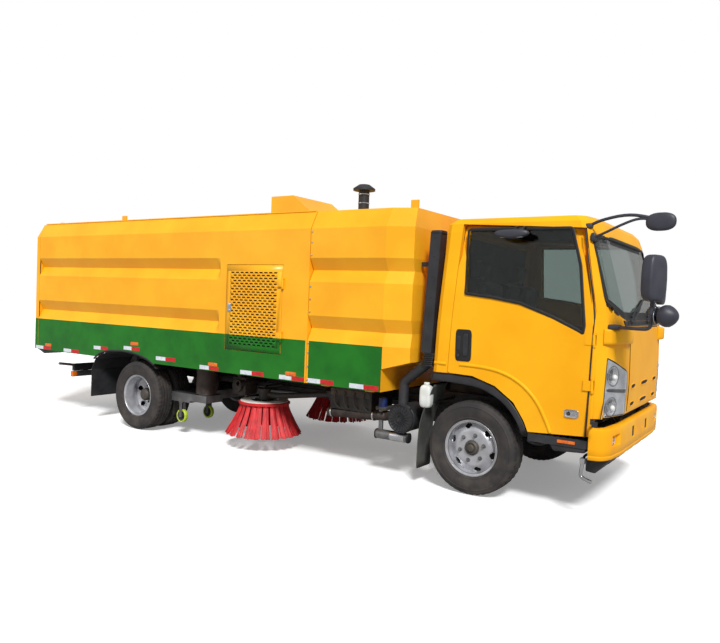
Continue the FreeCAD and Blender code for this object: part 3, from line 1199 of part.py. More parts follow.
def brush_arm():
    """Boss on the leaning pin, arm, motor and drive shaft."""
    way = arm_direction()
    start = ("-arm_pivot_x", "-arm_pivot_y", "arm_pivot_z")
    boss = leaning_rod("arm boss", start, way, "arm_boss_radius", "-arm_boss_half", "arm_boss_half")
    motor = rod("brush motor", "Z", ("-brush_x", "-brush_y", "brush_disc_top + move_gap"), "motor_radius",
                "motor_top - brush_disc_top - move_gap")
    tube = routed("arm tube", [start, ("-(brush_x - 3 * motor_radius)", "-brush_y",
                                       "motor_top - motor_radius"),
                               ("-brush_x", "-brush_y", "motor_top - motor_radius")], "arm_tube_radius",
                               "4 * arm_tube_radius")
    shaft = rod("brush shaft", "Z", ("-brush_x", "-brush_y", "brush_disc_top - brush_disc_thick"),
                "brush_shaft",
                "brush_disc_thick + 2 * move_gap")
    hole = leaning_rod("arm boss bore", start, way, "arm_pin_radius + run_gap", "-2 * arm_boss_half",
                       "2 * arm_boss_half")
    keep_pair("brush_arm", cut("brush arm", joined("arm whole", [boss, motor, tube, shaft]), [hole]))


# Rear bars and mudguards
def rear_bumper():
    bar = box("underrun bar", ("-(underrun_x + underrun_thick / 2)", "-(underrun_x - underrun_thick / 2)"),
              ("-underrun_half", "underrun_half"), ("underrun_low", "underrun_high"))
    tube = routed("bent tube", [("-tube_x", "-tube_end_y", "tube_end_z"),
                                ("-tube_x", "-tube_bend_y", "tube_z"),
                                ("-tube_x", "tube_bend_y", "tube_z"),
                                ("-tube_x", "tube_end_y", "tube_end_z")],
                  "tube_radius", "tube_bend")
    tie = box("tube tie", ("-(tube_x + tube_radius / 2)", "-(underrun_x + underrun_thick / 2 - seat_gap)"),
              ("-(drop_arm_y + drop_arm_half / 2)", "-(drop_arm_y - drop_arm_half / 2)"),
              ("underrun_high - 2 * skin", "tube_z"))
    keep("rear_bumper", joined("rear bars", [bar, tube] + both_sides("tube tie", tie)))


def guard_points(inset):
    points = []
    for along, up in FLOOR_ARCH_SHARES:
        shrunk = 0.02 + 0.96 * along
        points.append(("-(arch_rear_x - (arch_rear_x - arch_front_x) * %.4f)" % shrunk,
                       "body_low - overrun + (arch_top_z - body_low + overrun) * %s - guard_gap - (%s)"
                       % (up, inset)))
    return points


def mudguards():
    """Arched sheets over the rear wheels with a flap behind each."""
    upper = [("-flap_x", "flap_low"), ("-flap_x", "body_low - 10 * guard_gap")] + guard_points("0")
    upper += [("-(arch_front_x - 2 * skin)", "guard_front_z")]
    lower = [("-(arch_front_x - 2 * skin + guard_thick)",
              "guard_front_z")] + list(reversed(guard_points("guard_thick")))
    lower += [("-(flap_x - guard_thick)", "body_low - 10 * guard_gap - guard_thick"),
              ("-(flap_x - guard_thick)", "flap_low")]
    sheet_piece = plate("mudguard", "XZ", "-guard_outer_y", "-guard_inner_y", upper + lower)
    arms = []
    for along in (0.13, 0.8):
        x = "-(arch_rear_x - (arch_rear_x - arch_front_x) * %s)" % along
        arms.append(box("guard arm", ("%s - 2 * skin" % x, "%s + 2 * skin" % x),
                        ("-(guard_inner_y + skin)", "-(rail_y + seat_gap)"),
                        ("rail_top - 6 * skin", "rail_top - 3 * skin")))
        arms.append(box("guard post", ("%s - 2 * skin" % x, "%s + 2 * skin" % x),
                        ("-(guard_inner_y + skin)", "-guard_inner_y"),
                        ("rail_top - 6 * skin", "body_low + 4 * skin")))
    whole = joined("mudguard and arms", [sheet_piece] + arms)
    keep("mudguards", grouped("mudguards", both_sides("mudguard", whole)))


# Tanks
def side_tanks():
    keep("fuel_tank", box("fuel tank", ("-fuel_rear", "-fuel_front"), ("fuel_inner_y", "fuel_outer_y"),
                          ("fuel_low", "fuel_top")))
    keep("hydraulic_tank", box("hydraulic tank", ("-hydraulic_rear", "-hydraulic_front"),
                               ("-hydraulic_outer_y", "-hydraulic_inner_y"),
                               ("hydraulic_low", "hydraulic_top")))
    vessel = rod("reservoir", "X", ("-reservoir_rear", "-reservoir_y", "reservoir_z"), "reservoir_radius",
                 "reservoir_rear - reservoir_front")
    strap = box("reservoir strap", ("-(reservoir_rear - skin)", "-(reservoir_rear - 5 * skin)"),
                ("-reservoir_y", "-(rail_y + seat_gap)"), ("rail_low + skin", "rail_low + 2 * skin"))
    post = box("reservoir post", ("-(reservoir_rear - skin)", "-(reservoir_rear - 5 * skin)"),
               ("-(reservoir_y + skin)", "-(reservoir_y - skin)"), ("reservoir_z", "rail_low + 2 * skin"))
    keep("air_reservoir", joined("air reservoir", [vessel, strap, post]))


def air_intake():
    """Canister beside the frame, duct and tall snorkel behind the cab."""
    can = rod("canister", "Y", ("-cleaner_x", "-(cleaner_y + cleaner_long / 6)", "cleaner_z"),
              "cleaner_radius", "cleaner_long")
    strap = box("canister strap", ("-(cleaner_x + strap_half)", "-(cleaner_x - strap_half)"),
                ("-(cleaner_y - cleaner_long / 2)", "-(rail_y + seat_gap)"),
                ("cleaner_z + 4 * skin", "cleaner_z + 8 * skin"))
    duct = routed("duct", [("-cleaner_x", "-(snorkel_y + snorkel_width / 2)", "cleaner_z"),
                           ("-cleaner_x", "-(snorkel_y + snorkel_width / 2)", "body_low + duct_radius * 2"),
                           ("-(snorkel_front + 2 * snorkel_lean)", "-(snorkel_y + snorkel_width / 2)",
                            "snorkel_low - 2 * duct_radius"),
                           ("-(snorkel_front + snorkel_lean + snorkel_depth / 2)",
                            "-(snorkel_y + snorkel_width / 2)", "snorkel_low + skin")],
                  "duct_radius", "duct_radius * 1.5")
    tower = plate("snorkel", "XZ", "-(snorkel_y + snorkel_width)", "-snorkel_y", [
        ("-(snorkel_front + snorkel_lean)", "snorkel_low"), ("-snorkel_front", "snorkel_top"),
        ("-(snorkel_front + snorkel_depth)", "snorkel_top"),
        ("-(snorkel_front + snorkel_lean + snorkel_depth)", "snorkel_low")])
    stay = box("snorkel stay", ("-(tank_front - seat_gap)", "-(snorkel_front + snorkel_depth)"),
               ("-(snorkel_y + 4 * skin)", "-(snorkel_y + 2 * skin)"),
               ("snorkel_top - 30 * skin", "snorkel_top - 26 * skin"))
    keep("air_intake", joined("air intake", [can, strap, duct, tower, stay]))


# Cab
def cab_outline(level, inset):
    """Plan of the cab at one height share, drawn in by an inset."""
    height, width, front, corner, rear = level
    side = "(cab_half_width * %s - (%s))" % (width, inset)
    nose = "(cab_front - cab_length * %s - (%s))" % (front, inset)
    back = "(cab_front - cab_length * (1 - %s) + (%s))" % (rear, inset)
    half = [(back, "%s * (1 - %s)" % (side, REAR_CORNER_SHARE)),
            ("%s + cab_length * %s" % (back, REAR_CORNER_SHARE), side)]
    half += [("%s - cab_length * %s * %s" % (nose, set_back, corner), "%s * %s" % (side, share))
             for share, set_back in CAB_CORNER_SHARES]
    return half + [(x, "-(%s)" % y) for x, y in reversed(half)]


def cab_layers(label, inset):
    levels = []
    for level in CAB_LEVEL_SHARES:
        drop = "(%s) * %s" % (inset, 1 if level[0] > 0.9 else 0)
        if level[0] == 0:
            drop = "(%s)" % inset
        levels.append(("cab_low + cab_height * %s - (%s)" % (level[0], drop), cab_outline(level, inset)))
    return layered(label, "XY", levels)


def cab_point(share, out=(0, 0)):
    """A place on the cab's side from its shares, moved outwards by the door gap."""
    back, up = share
    return ("cab_front - cab_length * %s + door_gap * %s" % (back, out[0]),
            "cab_low + cab_height * %s + door_gap * %s" % (up, out[1]))


def door_region(label, grown):
    points = [cab_point((back, up), (ahead * grown, above * grown)) for back, up, ahead,
              above in DOOR_SHARES]
    return plate(label, "XZ", "-(cab_half_width + overrun)", "-side_split_y", points)


def window_region(label, shrink):
    points = []
    for back, up in SIDE_WINDOW_SHARES:
        ahead = -1 if back < 0.5 else 1
        above = -1 if up > 0.7 else 1
        points.append(("cab_front - cab_length * %s + pane_gap * %s" % (back, ahead * shrink),
                       "cab_low + cab_height * %s + pane_gap * %s" % (up, above * shrink)))
    return plate(label, "XZ", "-(cab_half_width + overrun)", "-side_split_y", points)


def windscreen_region(label, shrink):
    points = []
    for across, up in WINDSCREEN_SHARES:
        above = -1 if up > 0.7 else 1
        points.append(("cab_half_width * %s - pane_gap * %s" % (across, shrink),
                       "cab_low + cab_height * %s + pane_gap * %s" % (up, above * shrink)))
    points += [("-(%s)" % y, z) for y, z in reversed(points)]
    return plate(label, "YZ", "cab_front - cab_length / 3", "cab_front + overrun", points)


def headlight_region(label, grown):
    points = []
    for (across, up), (side, above) in zip(HEADLIGHT_SHARES, ((-1, 1), (1, 1), (1, -1), (-1, -1))):
        points.append(("-(cab_half_width * %s + pane_gap * %s)" % (across, side * grown),
                       "cab_low + cab_height * %s + pane_gap * %s" % (up, above * grown)))
    return plate(label, "YZ", "cab_front - cab_length * 0.1 + pane_gap * %d" % (1 - grown),
                 "cab_front + overrun", points)


def cab_shell(outer):
    """Hollow cab body, split into panels, glass, lamps and doors."""
    inner = cab_layers("cab inside", "cab_wall")
    arch = plate("cab arch", "XZ", "-(cab_half_width + overrun)", "cab_half_width + overrun",
                 [cab_point(share) for share in ARCH_SHARES])
    notch = box("cab nose notch", ("panel_notch_x", "cab_front + overrun"),
                ("-(cab_half_width + overrun)", "cab_half_width + overrun"),
                ("cab_low - overrun", "panel_low"))
    shell = cut("cab shell", outer, [inner, arch, notch])
    pane = cut("cab pane layer", cab_layers("pane outside", "glass_set_in"),
               [cab_layers("pane inside", "glass_set_in + glass_thick")])

    window = window_region("side window", 0)
    door = cut("door with window", shared("door blank", shell, door_region("door region", 0)), [window])
    door_parts(door)
    keep_pair("door_glass", shared("door glass", pane, window_region("side pane", 1)))

    gaps = both_sides("door gap", door_region("door gap region", 1))
    rest = cut("cab without doors", shell, gaps + [windscreen_region("windscreen hole", 0)])
    keep("windscreen", shared("windscreen", pane, windscreen_region("windscreen pane", 1)))

    wide = ("-(cab_half_width + overrun)", "cab_half_width + overrun")
    ahead = ("-rear_split_x", "cab_front + overrun")
    behind = ("-(cab_length)", "-rear_split_x")
    top = ("roof_split_z", "cab_low + cab_height + overrun")
    keep("cab_roof", shared("cab roof", rest, box("roof region", ("-cab_length", "cab_front + overrun"),
                                                  wide, top)))
    rear_wall = shared("cab rear wall", rest, box("rear region", behind, wide,
                                                  ("cab_low - overrun", "roof_split_z - seat_gap")))
    keep("cab_rear_wall", rear_wall)
    pillar_box = box("pillar region", ahead, wide, ("nose_split_z", "roof_split_z - seat_gap"))
    pillars = shared("cab pillars", rest, pillar_box)
    nose = shared("nose", rest, box("nose region", ahead, wide,
                                    ("cab_low - overrun", "nose_split_z - seat_gap")))
    tools = both_sides("lamp hole", headlight_region("lamp hole", 1)) + door_recesses()
    panel = cut("nose panel", nose, tools)
    lamp = shared("headlight", nose, headlight_region("lamp region", 0))
    keep("headlights", grouped("headlights", both_sides("headlight", lamp)))
    keep("front_panel", grouped("front group", [joined("front panel whole", [panel] + door_pins()),
                                                pillars]))


DOOR_HINGE_X = "panel_notch_x - 2 * hinge_pin_radius"
DOOR_HINGE_Y = "-(cab_half_width - hinge_pin_radius / 2)"
DOOR_HINGE_SHARES = (0.24, 0.44)


def door_hinge_z(share):
    return "(cab_low + cab_height * %s)" % share


def door_recesses():
    """Room in the front post for the turning sleeves."""
    items = []
    for share in DOOR_HINGE_SHARES:
        middle = door_hinge_z(share)
        room = box("sleeve room", ("%s - 2 * overrun" % DOOR_HINGE_X,
                                   "%s + hinge_sleeve_radius + move_gap" % DOOR_HINGE_X),
                   ("%s - 2 * overrun" % DOOR_HINGE_Y,
                    "%s + hinge_sleeve_radius + move_gap" % DOOR_HINGE_Y),
                   ("%s - hinge_long / 2 + hinge_end" % middle, "%s + hinge_long / 2 - hinge_end" % middle))
        items += both_sides("sleeve room", room)
    return items


def door_pins():
    """Pins and lugs at the front post for the cab doors."""
    items = []
    for share in DOOR_HINGE_SHARES:
        middle = door_hinge_z(share)
        pin = rod("cab door pin", "Z", (DOOR_HINGE_X, DOOR_HINGE_Y, "%s - hinge_long / 2" % middle),
                  "hinge_pin_radius", "hinge_long")
        items += both_sides("cab door pin", pin)
        for start in ("- hinge_long / 2", "+ hinge_long / 2 - hinge_end"):
            lug = box("cab door lug", (DOOR_HINGE_X, "(%s) + 1.5 * hinge_sleeve_radius" % DOOR_HINGE_X),
                      ("%s - hinge_pin_radius" % DOOR_HINGE_Y, "(%s) + hinge_sleeve_radius" % DOOR_HINGE_Y),
                      ("%s %s" % (middle, start), "%s %s + hinge_end" % (middle, start)))
            items += both_sides("cab door lug", lug)
    return items


def door_parts(blank):
    sleeves = []
    bores = []
    for share in DOOR_HINGE_SHARES:
        middle = door_hinge_z(share)
        low = "%s - hinge_long / 2 + hinge_end + seat_gap" % middle
        length = "hinge_long - 2 * hinge_end - 2 * seat_gap"
        sleeves.append(rod("cab door sleeve", "Z", (DOOR_HINGE_X, DOOR_HINGE_Y, low), "hinge_sleeve_radius",
                           length))
        sleeves.append(box("cab door leaf", ("(%s) - 6 * hinge_sleeve_radius" % DOOR_HINGE_X, DOOR_HINGE_X),
                           ("(%s) - hinge_sleeve_radius / 2" % DOOR_HINGE_Y,
                            "(%s) + hinge_sleeve_radius" % DOOR_HINGE_Y),
                           (low, "%s + %s" % (low, length))))
        bores.append(rod("cab door bore", "Z", (DOOR_HINGE_X, DOOR_HINGE_Y, "%s - hinge_long" % middle),
                         "hinge_pin_radius + run_gap", "2 * hinge_long"))
    door = cut("cab door", joined("cab door body", [blank] + sleeves), bores)
    keep("left_door", mirrored("left cab door", door))
    keep("right_door", joined("right cab door", [door] + look_down("kerb mirror")))


def cab_floor():
    """Footwell pans each side of a raised tunnel, with the two tilt arms."""
    top = [
        ("floor_knee_x", "floor_rear_z"), ("floor_foot_x", "floor_front_z"),
        ("floor_front_x", "floor_front_z"),
        ("panel_notch_x", "panel_low + 4 * skin"),
    ]
    low = [(x, "(%s) - floor_thick" % z) for x, z in reversed(top)]
    pan = plate("footwell pan", "XZ", "-floor_half_width", "-(tunnel_y - floor_thick / 2)", top + low)
    wall = plate("tunnel wall", "XZ", "-tunnel_y", "-(tunnel_y - floor_thick / 2)",
                 top + [("panel_notch_x", "floor_rear_z")])
    deck = box("deck", ("cab_wall - floor_rear_x", "floor_knee_x + skin"),
               ("-floor_half_width", "floor_half_width"),
               ("floor_rear_z - floor_thick", "floor_rear_z"))
    tunnel = box("tunnel top", ("floor_knee_x", "cab_front - cab_wall - skin"), ("-tunnel_y", "tunnel_y"),
                 ("floor_rear_z - floor_thick", "floor_rear_z"))
    arm = plate("tilt arm", "XZ", "-(cab_arm_y + cab_arm_thick)", "-cab_arm_y", [
        ("cab_pivot_x - cab_arm_half", "cab_pivot_z - cab_arm_half"),
        ("cab_pivot_x + cab_arm_half - cab_arm_neck", "cab_pivot_z - cab_arm_half"),
        ("cab_pivot_x + cab_arm_half", "cab_pivot_z - cab_arm_half + cab_arm_neck"),
        ("cab_pivot_x + cab_arm_half", "cab_pivot_z + cab_arm_neck"),
        ("cab_pivot_x + cab_arm_neck", "cab_pivot_z + cab_arm_half + skin"),
        ("cab_pivot_x + cab_arm_neck", "floor_rear_z - skin"),
        ("floor_front_x - 2 * skin", "floor_rear_z - skin")])
    bore = rod("tilt arm bore", "Y", ("cab_pivot_x", "-(cab_arm_y + 2 * cab_arm_thick)", "cab_pivot_z"),
               "cab_pivot_radius + run_gap", "2 * (cab_arm_y + 2 * cab_arm_thick)")
    parts = [deck, tunnel] + both_sides("footwell pan", pan) + both_sides("tunnel wall", wall)
    keep("cab_floor", cut("cab floor", joined("floor and arms", parts + both_sides("tilt arm", arm)),
                          [bore]))


def steer_direction():
    lean = math.radians(number("steer_lean"))
    return FreeCAD.Vector(-math.sin(lean), 0, math.cos(lean))


def dashboard():
    points = [
        ("dash_rear", "dash_low"), ("dash_rear", "dash_top - 4 * skin"),
        ("dash_rear + 4 * skin", "dash_top"),
        ("dash_front", "dash_top"), ("dash_front", "dash_low"),
    ]
    block = plate("dash block", "XZ", "-dash_half_width", "dash_half_width", points)
    column = leaning_rod("column", ("steer_x", "steer_y", "steer_z"), steer_direction(), "column_radius",
                         "-column_long", "-skin")
    mount = box("dash mount", ("dash_front - skin", "dash_mount_x"), ("-tunnel_y", "tunnel_y"),
                ("dash_top - 5 * skin", "dash_top - skin / 2"))
    keep("dashboard", joined("dashboard", [block, column, mount]))


def steering_wheel():
    way = steer_direction()
    centre = ("steer_x", "steer_y", "steer_z")
    grip = doc.addObject("Part::Feature", "grip")
    grip.Label = "grip"
    grip.Shape = Part.makeTorus(number("steer_radius - steer_grip"), number("steer_grip"), vector(centre),
                                way)
    grip.Placement = FreeCAD.Placement(vector(("front_axle_x", "0", "0")), FreeCAD.Rotation())
    hub = leaning_rod("steer hub", centre, way, "steer_hub", "-steer_hub_long", "skin")
    bore = leaning_rod("steer bore", centre, way, "column_radius + run_gap", "-2 * steer_hub_long",
                       "-skin + run_gap")
    spokes = []
    across = way.cross(FreeCAD.Vector(0, 1, 0)).normalize()
    for turn in (90, 210, 330):
        toward = FreeCAD.Rotation(way, turn).multVec(across)
        spoke = leaning_rod("spoke", centre, toward, "steer_grip * 0.7", "steer_hub - skin",
                            "steer_radius - steer_grip")
        spokes.append(spoke)
    keep("steering_wheel", cut("steering wheel", joined("steering whole", [grip, hub] + spokes), [bore]))


def seat(label, y, half):
    """Cushion, leaning back and pedestal of one seat."""
    points = [
        ("-seat_rear", "seat_low"), ("seat_front", "seat_low"), ("seat_front", "seat_top"),
        ("seat_back_thick - seat_rear + skin", "seat_top"),
        ("seat_back_thick - seat_rear - seat_back_lean", "seat_back_top"),
        ("-(seat_rear + seat_back_lean)", "seat_back_top"),
    ]
    pad = plate(label, "XZ", "(%s) - (%s)" % (y, half), "(%s) + (%s)" % (y, half), points)
    foot = box(label + " foot", ("0", "seat_front - 4 * skin"),
               ("(%s) - (%s) * 0.7" % (y, half), "(%s) + (%s) * 0.7" % (y, half)),
               ("floor_rear_z + seat_gap", "seat_low + skin"))
    trim = box(label + " trim", ("floor_knee_x", "seat_front"),
               ("(%s) - (%s)" % (y, half), "(%s) + (%s)" % (y, half)),
               ("floor_rear_z - skin", "seat_low"))
    return joined(label + " whole", [pad, cut(label + " foot short", foot, [trim])])


def seats():
    rows = both_sides("side seat", seat("side seat", "-seat_y", "seat_half_width"))
    keep("seats", grouped("seats", rows + [seat("middle seat", "0", "middle_seat_half")]))


# Mirrors
def mirror_head(label, x, y, z, half_wide, yaw):
    """An upright head turned inwards by a yaw."""
    item = doc.addObject("Part::Feature", "head")
    item.Label = label
    low, high = z
    shape = Part.makeBox(number("mirror_head_thick"), 2 * number(half_wide),
                         number("(%s) - (%s)" % (high, low)),
                         FreeCAD.Vector(-number("mirror_head_thick") / 2, -number(half_wide), number(low)))
    upright = [edge for edge in shape.Edges if abs(edge.tangentAt(edge.FirstParameter).z) > 0.9]
    shape = shape.makeFillet(number("mirror_round"), upright)
    shape.Placement = FreeCAD.Placement(vector((x, y, "0")), FreeCAD.Rotation(FreeCAD.Vector(0, 0, 1), yaw))
    item.Shape = shape
    item.Placement = FreeCAD.Placement(vector(("front_axle_x", "0", "0")) + shape.Placement.Base,
                                       shape.Placement.Rotation)
    return item


def right_mirrors():
    head = mirror_head("main head", "mirror_head_x", "-mirror_head_y",
                       ("mirror_head_low", "mirror_head_high"),
                       "mirror_head_wide / 2", number("mirror_yaw"))
    round_head = rod("round mirror", "X", ("round_mirror_x", "-(mirror_stalk_y + skin)", "round_mirror_z"),
                     "round_mirror_radius", "front_reach - round_mirror_x")
    arm = routed("lower arm", [("mirror_foot_x", "-mirror_foot_y", "mirror_arm_z"),
                               ("mirror_stalk_x", "-mirror_stalk_y", "mirror_arm_z"),
                               ("mirror_stalk_x", "-mirror_stalk_y", "mirror_head_high - 4 * skin")],
                 "mirror_rod_radius", "4 * mirror_rod_radius")
    link = routed("round mirror link", [("mirror_stalk_x", "-mirror_stalk_y", "round_mirror_z"),
                                        ("round_mirror_x + skin", "-mirror_stalk_y", "round_mirror_z")],
                  "mirror_rod_radius", "mirror_rod_radius")
    foot = box("mirror foot", ("mirror_foot_x - 4 * skin", "mirror_foot_x + skin"),
               ("-(mirror_foot_y + skin)", "-(mirror_foot_y - 2 * skin)"),
               ("mirror_arm_z - 3 * skin", "mirror_arm_z + 3 * skin"))
    high = mirror_head("high head", "high_head_x + high_head_long / 2", "-high_head_y",
                       ("high_head_low", "high_head_high"),
                       "high_head_long / 2", 80)
    high_arm = routed("high arm", [("high_foot_x", "-high_foot_y", "high_foot_z"),
                                   ("high_head_x + high_head_long / 3", "-high_head_y",
                                    "high_foot_z + skin")],
                      "mirror_rod_radius", "mirror_rod_radius")
    main_parts = joined("mirror group", [head, arm, link, foot, round_head])
    high_parts = joined("high mirror group", [high, high_arm])
    return [main_parts, high_parts]


def mirrors(outside):
    """All mirrors, trimmed where their feet meet the cab's skin."""
    items = [cut("trimmed mirror", item, [outside]) for item in right_mirrors() + left_mirrors()]
    keep("mirrors", grouped("mirrors", items))


def look_down(label):
    """Kerb mirror hung over the door on a short bracket."""
    head = box(label, ("look_rear", "look_front"), ("-(cab_half_width + look_thick)",
                                                    "-(cab_half_width + skin)"),
               ("look_low", "look_high"))
    post = box(label + " post", ("look_foot_x - 2 * skin", "look_foot_x + 2 * skin"),
               ("-(cab_half_width + 3 * skin)", "-(cab_half_width + 2 * skin)"),
               ("look_high - skin", "look_foot_z + skin"))
    bar = box(label + " bar", ("look_foot_x - 2 * skin", "look_foot_x + 2 * skin"),
              ("-(cab_half_width + 3 * skin)", "-look_foot_y"), ("look_foot_z", "look_foot_z + skin"))
    return [head, post, bar]


def left_mirrors():
    head = mirror_head("left head", "left_mirror_x + 14 * skin", "mirror_reach_y - mirror_head_wide / 2",
                       ("mirror_head_low", "mirror_head_high"), "mirror_head_wide / 2", 0)
    arms = []
    for z in ("mirror_head_low + 8 * skin", "mirror_head_high - 8 * skin"):
        arms.append(routed("left arm", [("left_mirror_x - 4 * skin", "cab_half_width * 0.9", z),
                                        ("left_mirror_x + 14 * skin",
                                         "mirror_reach_y - mirror_head_wide / 2", z)],
                           "mirror_rod_radius", "mirror_rod_radius"))
    return [joined("left mirror group", [head] + arms)]


# Steps and bumper
def cab_steps():
    tread = box("step", ("step_rear", "step_front"), ("-step_outer_y", "-step_inner_y"),
                ("step_low", "step_top"))
    bracket = box("step bracket", ("step_rear + 12 * skin", "step_front - 4 * skin"),
                  ("-(step_inner_y + 2 * skin)", "-(step_inner_y + skin)"),
                  ("step_top - skin", "floor_front_z - floor_thick - seat_gap"))
    whole = joined("step and bracket", [tread, bracket])
    keep("cab_steps", grouped("cab steps", both_sides("step", whole)))


def bumper_band():
    outer = [
        ("bumper_wing_x", "bumper_wing_y"), ("bumper_front - 8 * skin", "bumper_wing_y - skin / 2"),
        ("bumper_front - 3 * skin", "bumper_wing_y - 7 * skin"),
        ("bumper_front - skin / 2", "bumper_wing_y * 0.7"),
        ("bumper_front", "bumper_wing_y * 0.5"),
    ]
    inner = [
        ("bumper_front - bumper_thick", "bumper_wing_y * 0.5"),
        ("bumper_front - bumper_thick", "bumper_wing_y * 0.85"),
        ("bumper_front - bumper_thick - 3 * skin", "bumper_wing_inner"),
        ("bumper_wing_x", "bumper_wing_inner"),
    ]
    points = outer + [(x, "-(%s)" % y) for x, y in reversed(outer)]
    points += [(x, "-(%s)" % y) for x, y in reversed(inner)] + inner
    return points


def front_bumper():
    band = plate("bumper band", "XY", "bumper_low", "bumper_top", bumper_band())
    valance = plate("bumper valance", "XZ", "-(bumper_wing_y * 0.85)", "bumper_wing_y * 0.85", [
        ("valance_rear", "valance_low"), ("valance_front", "valance_low"),
        ("bumper_front - 2 * skin", "bumper_low + skin"),
        ("bumper_front - bumper_thick", "bumper_low + 4 * skin"), ("valance_rear", "valance_top")])
    holes = []
    for sign in ("-", ""):
        holes.append(rod("plate bolt hole", "X", ("bumper_front - bumper_thick - overrun",
                                                  "%splate_bolt_half" % sign,
                                                  "(bumper_low + bumper_top) / 2"),
                         "plate_bolt_radius", "bumper_thick + 2 * overrun"))
        holes.append(rod("tow hole", "X", ("valance_rear - overrun", "%stow_y" % sign, "tow_z"),
                         "tow_radius", "bumper_front"))
    keep("front_bumper", cut("front bumper", joined("bumper whole", [band, valance]), holes))


def write_pieces():
    """Check every object, then write one file per piece."""
    doc.recompute()
    wrong = [item.Label for item in doc.Objects if "Invalid" in item.State or "Error" in item.State]
    if wrong:
        raise RuntimeError("objects not solved: %s" % wrong)
    os.makedirs("parts", exist_ok=True)
    for node, item in pieces.items():
        if item.Shape.isNull() or not item.Shape.isValid() or not item.Shape.Solids:
            raise RuntimeError("shape not sound: %s" % node)
        item.Shape.exportStep("parts/%s.step" % node)


fill_sheet()
front_wheel()
rear_wheels()
front_axle()
knuckle()
rear_axle()
leaf_springs()
chassis_frame()
engine_block()
drive_shaft()
auxiliary_engine()
water_tank()
exhaust_stack()
service_door()
bin_floor()
bin_roof()
tailgate()
bin_walls()
exhaust_hood()
lift_cylinder()
suction_hose()
suction_nozzle()
castor_wheels()
brush()
brush_arm()
rear_bumper()
mudguards()
side_tanks()
air_intake()
cab_outside = cab_layers("cab outside", "0")
cab_shell(cab_outside)
cab_floor()
dashboard()
steering_wheel()
seats()
mirrors(cab_outside)
cab_steps()
front_bumper()
write_pieces()
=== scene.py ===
import functools
import json
import math
import random

import bmesh
import bpy
from mathutils import Matrix, Vector
from mathutils.bvhtree import BVHTree

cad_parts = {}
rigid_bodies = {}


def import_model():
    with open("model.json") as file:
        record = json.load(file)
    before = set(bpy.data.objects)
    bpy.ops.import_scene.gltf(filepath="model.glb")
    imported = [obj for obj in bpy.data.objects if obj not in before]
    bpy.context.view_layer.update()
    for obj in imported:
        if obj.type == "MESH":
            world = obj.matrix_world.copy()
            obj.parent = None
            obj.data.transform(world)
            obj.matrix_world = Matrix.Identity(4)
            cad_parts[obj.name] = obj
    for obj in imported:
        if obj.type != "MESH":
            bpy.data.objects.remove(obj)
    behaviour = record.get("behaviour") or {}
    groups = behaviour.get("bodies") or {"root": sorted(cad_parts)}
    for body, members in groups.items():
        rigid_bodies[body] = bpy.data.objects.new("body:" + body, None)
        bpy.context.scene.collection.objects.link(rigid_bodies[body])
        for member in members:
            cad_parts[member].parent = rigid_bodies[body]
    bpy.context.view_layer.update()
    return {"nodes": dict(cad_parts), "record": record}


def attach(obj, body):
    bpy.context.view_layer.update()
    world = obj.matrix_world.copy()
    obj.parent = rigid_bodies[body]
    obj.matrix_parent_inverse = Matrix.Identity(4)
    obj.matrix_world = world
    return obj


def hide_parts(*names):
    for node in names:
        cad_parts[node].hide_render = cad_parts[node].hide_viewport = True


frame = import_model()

# Lengths are millimetres from the middle of the front axle, on the ground; a finished piece
# is turned into metres in the model's own frame.
FRONT_AXLE, REAR_X, TYRE_RADIUS = 2307, -4175, 398
TO_FRAME = Matrix.Diagonal((0.001, 0.001, 0.001, 1)) @ Matrix.Translation((FRONT_AXLE, 0, 0))
TO_MILLIMETRES = TO_FRAME.inverted()
RIGHT, LEFT = -1, 1
SIDES = (("right", RIGHT), ("left", LEFT))
BODY_SEAM, BODY_FACE = -1650, -1110  # where the bin meets the water body; the right side's skin
CAB_FRONT, CAB_LONG, CAB_LOW, CAB_HIGH, CAB_HALF = 1160, 1549, 614, 1736, 993
BACK_OFF = 500  # how far outside a surface a line that looks for it starts
NO_SIDE, NO_FRONT = 990, 1100  # where the cab's side and front are taken to be if such a line finds none
UP, INWARD, OUTWARD, FORWARD, BACKWARD = (0, 0, 1), (0, 1, 0), (0, -1, 0), (1, 0, 0), (-1, 0, 0)
nodes = frame["nodes"]
random.seed(4)


# Materials
def srgb(red, green, blue):
    """A linear colour from one in 0-255 display values."""
    return tuple(c / 3294.6 if c <= 10 else ((c / 255 + 0.055) / 1.055) ** 2.4 for c in (red, green, blue)) + (1,)


class Wiring:
    """A shader node tree being filled."""

    def __init__(self, owner):
        owner.use_nodes = True
        self.tree = owner.node_tree

    def fill(self, node, inputs):
        """Sets a node's inputs to numbers, colours or other nodes' outputs."""
        for key, value in inputs.items():
            if isinstance(value, bpy.types.NodeSocket):
                self.tree.links.new(value, node.inputs[key])
            else:
                node.inputs[key].default_value = value
        return node

    def node(self, kind, inputs, output=0, **settings):
        """A new node's output."""
        made = self.tree.nodes.new("ShaderNode" + kind)
        for key, value in settings.items():
            setattr(made, key, value)
        return self.fill(made, inputs).outputs[output]

    def ramp(self, value, low, high, start=0.0, end=1.0):
        limits = {"From Min": low, "From Max": high, "To Min": start, "To Max": end}
        return self.node("MapRange", {"Value": value, **limits})

    def math(self, operation, first, second=0.0):
        return self.node("Math", {0: first, 1: second}, operation=operation)


